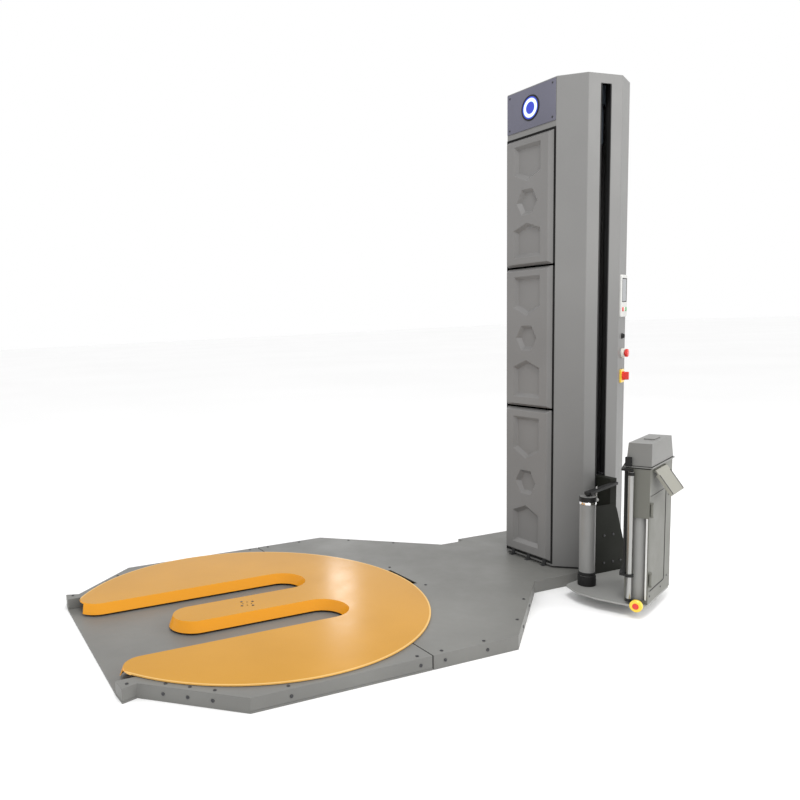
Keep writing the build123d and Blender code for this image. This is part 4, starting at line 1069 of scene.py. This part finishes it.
@dataclass
class CarriageAssembly:
    """Film carriage: deck, stretch box, hood, door, flap, spindle and dancer."""

    finishes: Finishes
    door_low: float = 0.112
    door_high: float = 0.540
    door_near: float = 0.024
    door_far: float = 0.252
    corner: float = 0.016
    box_near: float = 0.012
    box_far: float = 0.340
    box_wide: float = 0.096
    hood_half_long: float = 0.162
    window_high: float = 0.442
    flap_slope: float = math.radians(55.0)
    flap_skin: float = 0.005
    along: Vector = field(init=False)
    across: Vector = field(init=False)
    origin: Vector = field(init=False)

    def __post_init__(self) -> None:
        """Read the carriage's own axes from its joints."""
        joints = {item["name"]: item for item in frame["joints"]}
        self.along = Vector(joints["guard_wheel_spin"]["axis"]).normalized()
        self.across = Vector((-self.along.y, self.along.x, 0.0))
        hinge = Vector(joints["carriage_door_hinge"]["pos_m"])
        self.origin = hinge - self.along * 0.020 + self.across * 0.007
        self.origin.z = 0.0

    def at(self, u: float, v: float, z: float) -> Vector:
        """Point given along, across and above the carriage."""
        return self.origin + self.along * u + self.across * v + Vector((0.0, 0.0, z))

    def dress(self) -> None:
        """Finish the CAD nodes."""
        finishes = self.finishes
        plan: tuple[tuple[str, Finish, float], ...] = (
            ("carriage_slider", finishes.slider_plate, 0.0),
            ("carriage_deck", finishes.deck_paint, 0.0012),
            ("carriage_back_plate", finishes.back_dark, 0.0010),
            ("carriage_box", finishes.box_paint, 0.0012),
            ("carriage_door", finishes.box_paint, 0.0010),
            ("motor_hood", finishes.hood_moulding, 0.0030),
            ("hood_connector", finishes.black_plastic, 0.0015),
            ("pre_stretch_motor", finishes.motor_cast, 0.0),
            ("spindle_brake", finishes.black_metal, 0.0015),
            ("spindle_top_arm", finishes.black_metal, 0.0015),
            ("guard_flap", finishes.flap_moulding, 0.0025),
            ("slow_stretch_roller", finishes.roller_rubber, 0.0),
            ("fast_stretch_roller", finishes.roller_rubber, 0.0),
            ("dancer_arm", finishes.black_metal, 0.0008),
            ("dancer_roller", finishes.rolled_aluminium, 0.0),
            ("film_spindle", finishes.spindle_tube, 0.0),
            ("lock_knob", finishes.white_roller, 0.0),
            ("guard_wheel", finishes.yellow_plastic, 0.0),
        )
        for node, finish, rounding in plan:
            dress(node, finish, rounding)

    def build(self) -> None:
        """Build the painted shade strips in the gaps, the painted highlight strip, collars, caps and screw
        heads.
        """
        self._door_gap_shade()
        self._window_highlight_strip()
        self._screws()
        self._spindle_collars()
        self._roller_collars()
        self._guard_wheel_cap()
        self._flap_trim()
        self._hood_seam()

    def _door_gap_shade(self) -> None:
        """Black strip in the door's gap, painted shade of the gap, with a rounded lower corner."""
        work = Workpiece("door_gap_shade")
        edge = self.door_far - 0.0025
        path = [self.at(self.door_near + 0.02, -0.0002, self.door_low + 0.0012)]
        for step in range(7):
            angle = -math.pi / 2 + step * math.pi / 12
            u = edge - self.corner + self.corner * math.cos(angle)
            z = self.door_low + 0.0012 + self.corner + self.corner * math.sin(angle)
            path.append(self.at(u, -0.0002, z))
        path.append(self.at(edge, -0.0002, self.door_high - 0.001))
        # painted shade: black strip where the door's gap lies in shadow
        work.band(path, -self.across, 0.0044, 0.0012)
        work.finish(Body.CARRIAGE, self.finishes.rubber, 0.0004)

    def _window_highlight_strip(self) -> None:
        """Bright strip at the edge of the box's film window: painted highlight of the stretch roller seen in
        the window.
        """
        work = Workpiece("film_window_highlight_strip")
        # painted highlight: bright strip standing for the roller's highlight
        path = [self.at(self.box_near - 0.0005, 0.0085, z) for z in (0.078, 0.26, self.window_high)]
        work.band(path, -self.along, 0.007, 0.0018)
        work.finish(Body.CARRIAGE, self.finishes.white_roller, 0.0005)

    def _screws(self) -> None:
        """Recessed heads in place of the carriage's plain ones."""
        front = OutwardRule(Vector(), Vector(), 99.0, always=-self.across)
        recess_heads("carriage_screw_heads", "carriage_screws", front, ScrewDrive.CROSS, Body.CARRIAGE,
                     self.finishes.screw, "screw_dark")

    def _spindle_collars(self) -> None:
        """Chrome and black bands on the film spindle."""
        place, radius, foot, head = upright("film_spindle")
        inner, outer = radius - 0.002, radius + 0.0022
        bands = (
            ("spindle_chrome_band", self.finishes.chrome, head - 0.036, head - 0.024),
            ("spindle_black_collar", self.finishes.black_plastic, head - 0.024, head - 0.001),
            ("spindle_foot_ring", self.finishes.black_plastic, foot + 0.047, foot + 0.063),
        )
        for name, finish, bottom, top in bands:
            work = Workpiece(name)
            work.turned([(inner, bottom), (outer, bottom), (outer, top), (inner, top)], place, 56)
            work.finish(Body.SPINDLE, finish, 0.0008)

    def _roller_collars(self) -> None:
        """Black end collars on the dancer roller."""
        place, radius, foot, head = upright("dancer_roller")
        inner, outer = radius - 0.001, radius + 0.0012
        work = Workpiece("dancer_roller_collars")
        for bottom, top in ((foot + 0.001, foot + 0.016), (head - 0.016, head - 0.001)):
            work.turned([(inner, bottom), (outer, bottom), (outer, top), (inner, top)], place, 40)
        work.finish(Body.DANCER_ROLLER, self.finishes.black_plastic, 0.0004)

    def _guard_wheel_cap(self) -> None:
        """Dark red hub cap on the yellow guard wheel."""
        low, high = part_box("guard_wheel")
        centre = (low + high) / 2.0
        points = [vert.co for vert in frame["nodes"]["guard_wheel"].data.vertices]
        reach = max((point - centre).dot(-self.along) for point in points)
        place = turned_to(centre - self.along * (reach - 0.0005), -self.along)
        work = Workpiece("guard_wheel_cap")
        profile = [(0.0, 0.0), (0.013, 0.0), (0.013, 0.0025), (0.010, 0.0042), (0.005, 0.0048), (0.0, 0.0050)]
        work.turned(profile, place, 32)
        work.finish(Body.GUARD_WHEEL, self.finishes.red_plastic)

    def _flap_trim(self) -> None:
        """Black trim along both sides of the guard flap."""
        points = [vert.co.copy() for vert in frame["nodes"]["guard_flap"].data.vertices]
        joint = next(item for item in frame["joints"] if item["name"] == "guard_flap_hinge")
        pivot = Vector(joint["pos_m"])
        slope = -self.across * math.cos(self.flap_slope) - Vector((0.0, 0.0, math.sin(self.flap_slope)))
        normal = -self.across * math.sin(self.flap_slope) + Vector((0.0, 0.0, math.cos(self.flap_slope)))
        seat = pivot + normal * self.flap_skin
        work = Workpiece("flap_side_trim")
        reaches = [(point - pivot).dot(self.along) for point in points]
        for u in (min(reaches) + 0.004, max(reaches) - 0.004):
            path = [seat + self.along * u + slope * reach for reach in (0.022, 0.070, 0.117)]
            work.band(path, normal, 0.006, 0.0012)
        work.finish(Body.FLAP, self.finishes.rubber, 0.0004)

    def _hood_seam(self) -> None:
        """Dark parting line round the motor hood, and a dark band under its flange as painted shade of the gap
        there.
        """
        low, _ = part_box("motor_hood")
        middle_u = (self.box_near + self.box_far) / 2.0 - 0.001
        middle_v = self.box_wide / 2.0
        seam = Workpiece("hood_parting_line")
        level = low.z + 0.0102
        corners = rectangle(2.0 * self.hood_half_long, 2.0 * (self.box_wide / 2.0 + 0.004))
        path = [self.at(middle_u + u, middle_v + v, level) for u, v in corners]
        seam.band(path, Vector((0.0, 0.0, 1.0)), 0.0016, 0.0022, closed=True)
        seam.finish(Body.CARRIAGE, self.finishes.dark_joint_and_painted_shade, 0.0003)
        # painted shade: dark band in the shadowed gap under the hood's flange
        gasket = Workpiece("hood_flange_shade")
        near, far, inset = self.box_near + 0.0005, self.box_far - 0.0005, 0.0005
        outline = ((near, inset), (far, inset), (far, self.box_wide - inset), (near, self.box_wide - inset))
        path = [self.at(u, v, low.z + 0.0002) for u, v in outline]
        gasket.band(path, Vector((0.0, 0.0, 1.0)), 0.0009, 0.0046, closed=True)
        gasket.finish(Body.CARRIAGE, self.finishes.dark_joint_and_painted_shade, 0.0002)


# ------------------------------------------------------------------ studio
@dataclass
class SoftLight:
    """Rectangular soft light."""

    name: str
    place: Vector
    aim: Vector
    size: Point2
    watts: float
    tint: Colour = (1.0, 1.0, 1.0)

    def build(self) -> None:
        """Add the light to the scene."""
        data = bpy.data.lights.new(self.name, "AREA")
        data.shape = "RECTANGLE"
        data.size, data.size_y = self.size
        data.energy = self.watts
        data.color = self.tint
        lamp = bpy.data.objects.new(self.name, data)
        lamp.location = self.place
        lamp.rotation_mode = "QUATERNION"
        lamp.rotation_quaternion = (self.aim - self.place).to_track_quat("-Z", "Y")
        bpy.context.scene.collection.objects.link(lamp)


@dataclass
class Studio:
    """Pale floor, soft lights and the camera."""

    finishes: Finishes
    floor_half: float = 60.0
    sky: Colour = (1.0, 1.0, 1.0)
    sky_strength: float = 1.0
    camera_place: Vector = field(default_factory=lambda: Vector((-1.318, -3.270, 1.357)))
    yaw: float = math.radians(21.69)
    pitch: float = math.radians(-7.37)
    roll: float = math.radians(-2.449)
    lens: float = 35.66
    shift: Point2 = (0.2049, 0.0309)

    def build(self) -> None:
        """Set the stage."""
        self._floor()
        self._world()
        self._lights()
        self._camera()

    def _floor(self) -> None:
        """Wide pale floor."""
        mesh = bmesh.new()
        bmesh.ops.create_grid(mesh, x_segments=8, y_segments=8, size=self.floor_half)
        data = bpy.data.meshes.new("studio_floor")
        mesh.to_mesh(data)
        mesh.free()
        data.materials.append(self.finishes.floor.material())
        floor = bpy.data.objects.new("studio_floor", data)
        floor.location.z = -0.0005
        bpy.context.scene.collection.objects.link(floor)

    def _world(self) -> None:
        """Even white surroundings."""
        world = bpy.data.worlds.new("studio_sky")
        world.use_nodes = True
        background = world.node_tree.nodes["Background"]
        background.inputs["Color"].default_value = (*self.sky, 1.0)
        background.inputs["Strength"].default_value = self.sky_strength
        bpy.context.scene.world = world
        bpy.context.scene.view_settings.view_transform = "Standard"

    def _lights(self) -> None:
        """Soft lights from above, from the near right and from behind."""
        middle = Vector((0.9, -0.2, 0.6))
        lights = (
            SoftLight("overhead", Vector((-0.4, -2.6, 5.2)), Vector((1.3, -0.1, 0.9)), (1.6, 1.6), 120.0),
            SoftLight("near_right", Vector((4.6, -3.2, 3.0)), middle, (2.4, 2.4), 85.0, (1.0, 0.99, 0.97)),
            SoftLight("behind", Vector((2.86, 4.25, 1.85)), Vector((0.5, 0.0, 0.07)), (0.26, 0.7), 3.2),
        )
        for light in lights:
            light.build()

    def _camera(self) -> None:
        """Camera on the near left of the turntable."""
        level = math.cos(self.pitch)
        forward = Vector((math.sin(self.yaw) * level, math.cos(self.yaw) * level, math.sin(self.pitch)))
        right = forward.cross(Vector((0.0, 0.0, 1.0))).normalized()
        up = right.cross(forward)
        cosine, sine = math.cos(self.roll), math.sin(self.roll)
        right_rolled = cosine * right + sine * up
        up_rolled = -sine * right + cosine * up
        data = bpy.data.cameras.new("studio_camera")
        data.lens = self.lens
        data.sensor_width = 36.0
        data.shift_x, data.shift_y = self.shift
        data.dof.use_dof = False
        data.clip_end = 200.0
        camera = bpy.data.objects.new("studio_camera", data)
        camera.matrix_world = placed(right_rolled, up_rolled, -forward, self.camera_place)
        bpy.context.scene.collection.objects.link(camera)
        bpy.context.scene.camera = camera


def write_sizes() -> None:
    """Log that the scene is built."""
    log.info("sizes written")


def main() -> None:
    """Dress the frame, build the pieces and set the studio."""
    logging.basicConfig(level=logging.INFO, format="%(name)s %(message)s")
    finishes = Finishes()
    kinds = (BaseAssembly, TurntableAssembly, MastAssembly, ControlsAssembly, CarriageAssembly)
    for assembly in [kind(finishes) for kind in kinds]:
        assembly.dress()
        assembly.build()
    Studio(finishes).build()
    write_sizes()


if __name__ == "__main__":
    main()
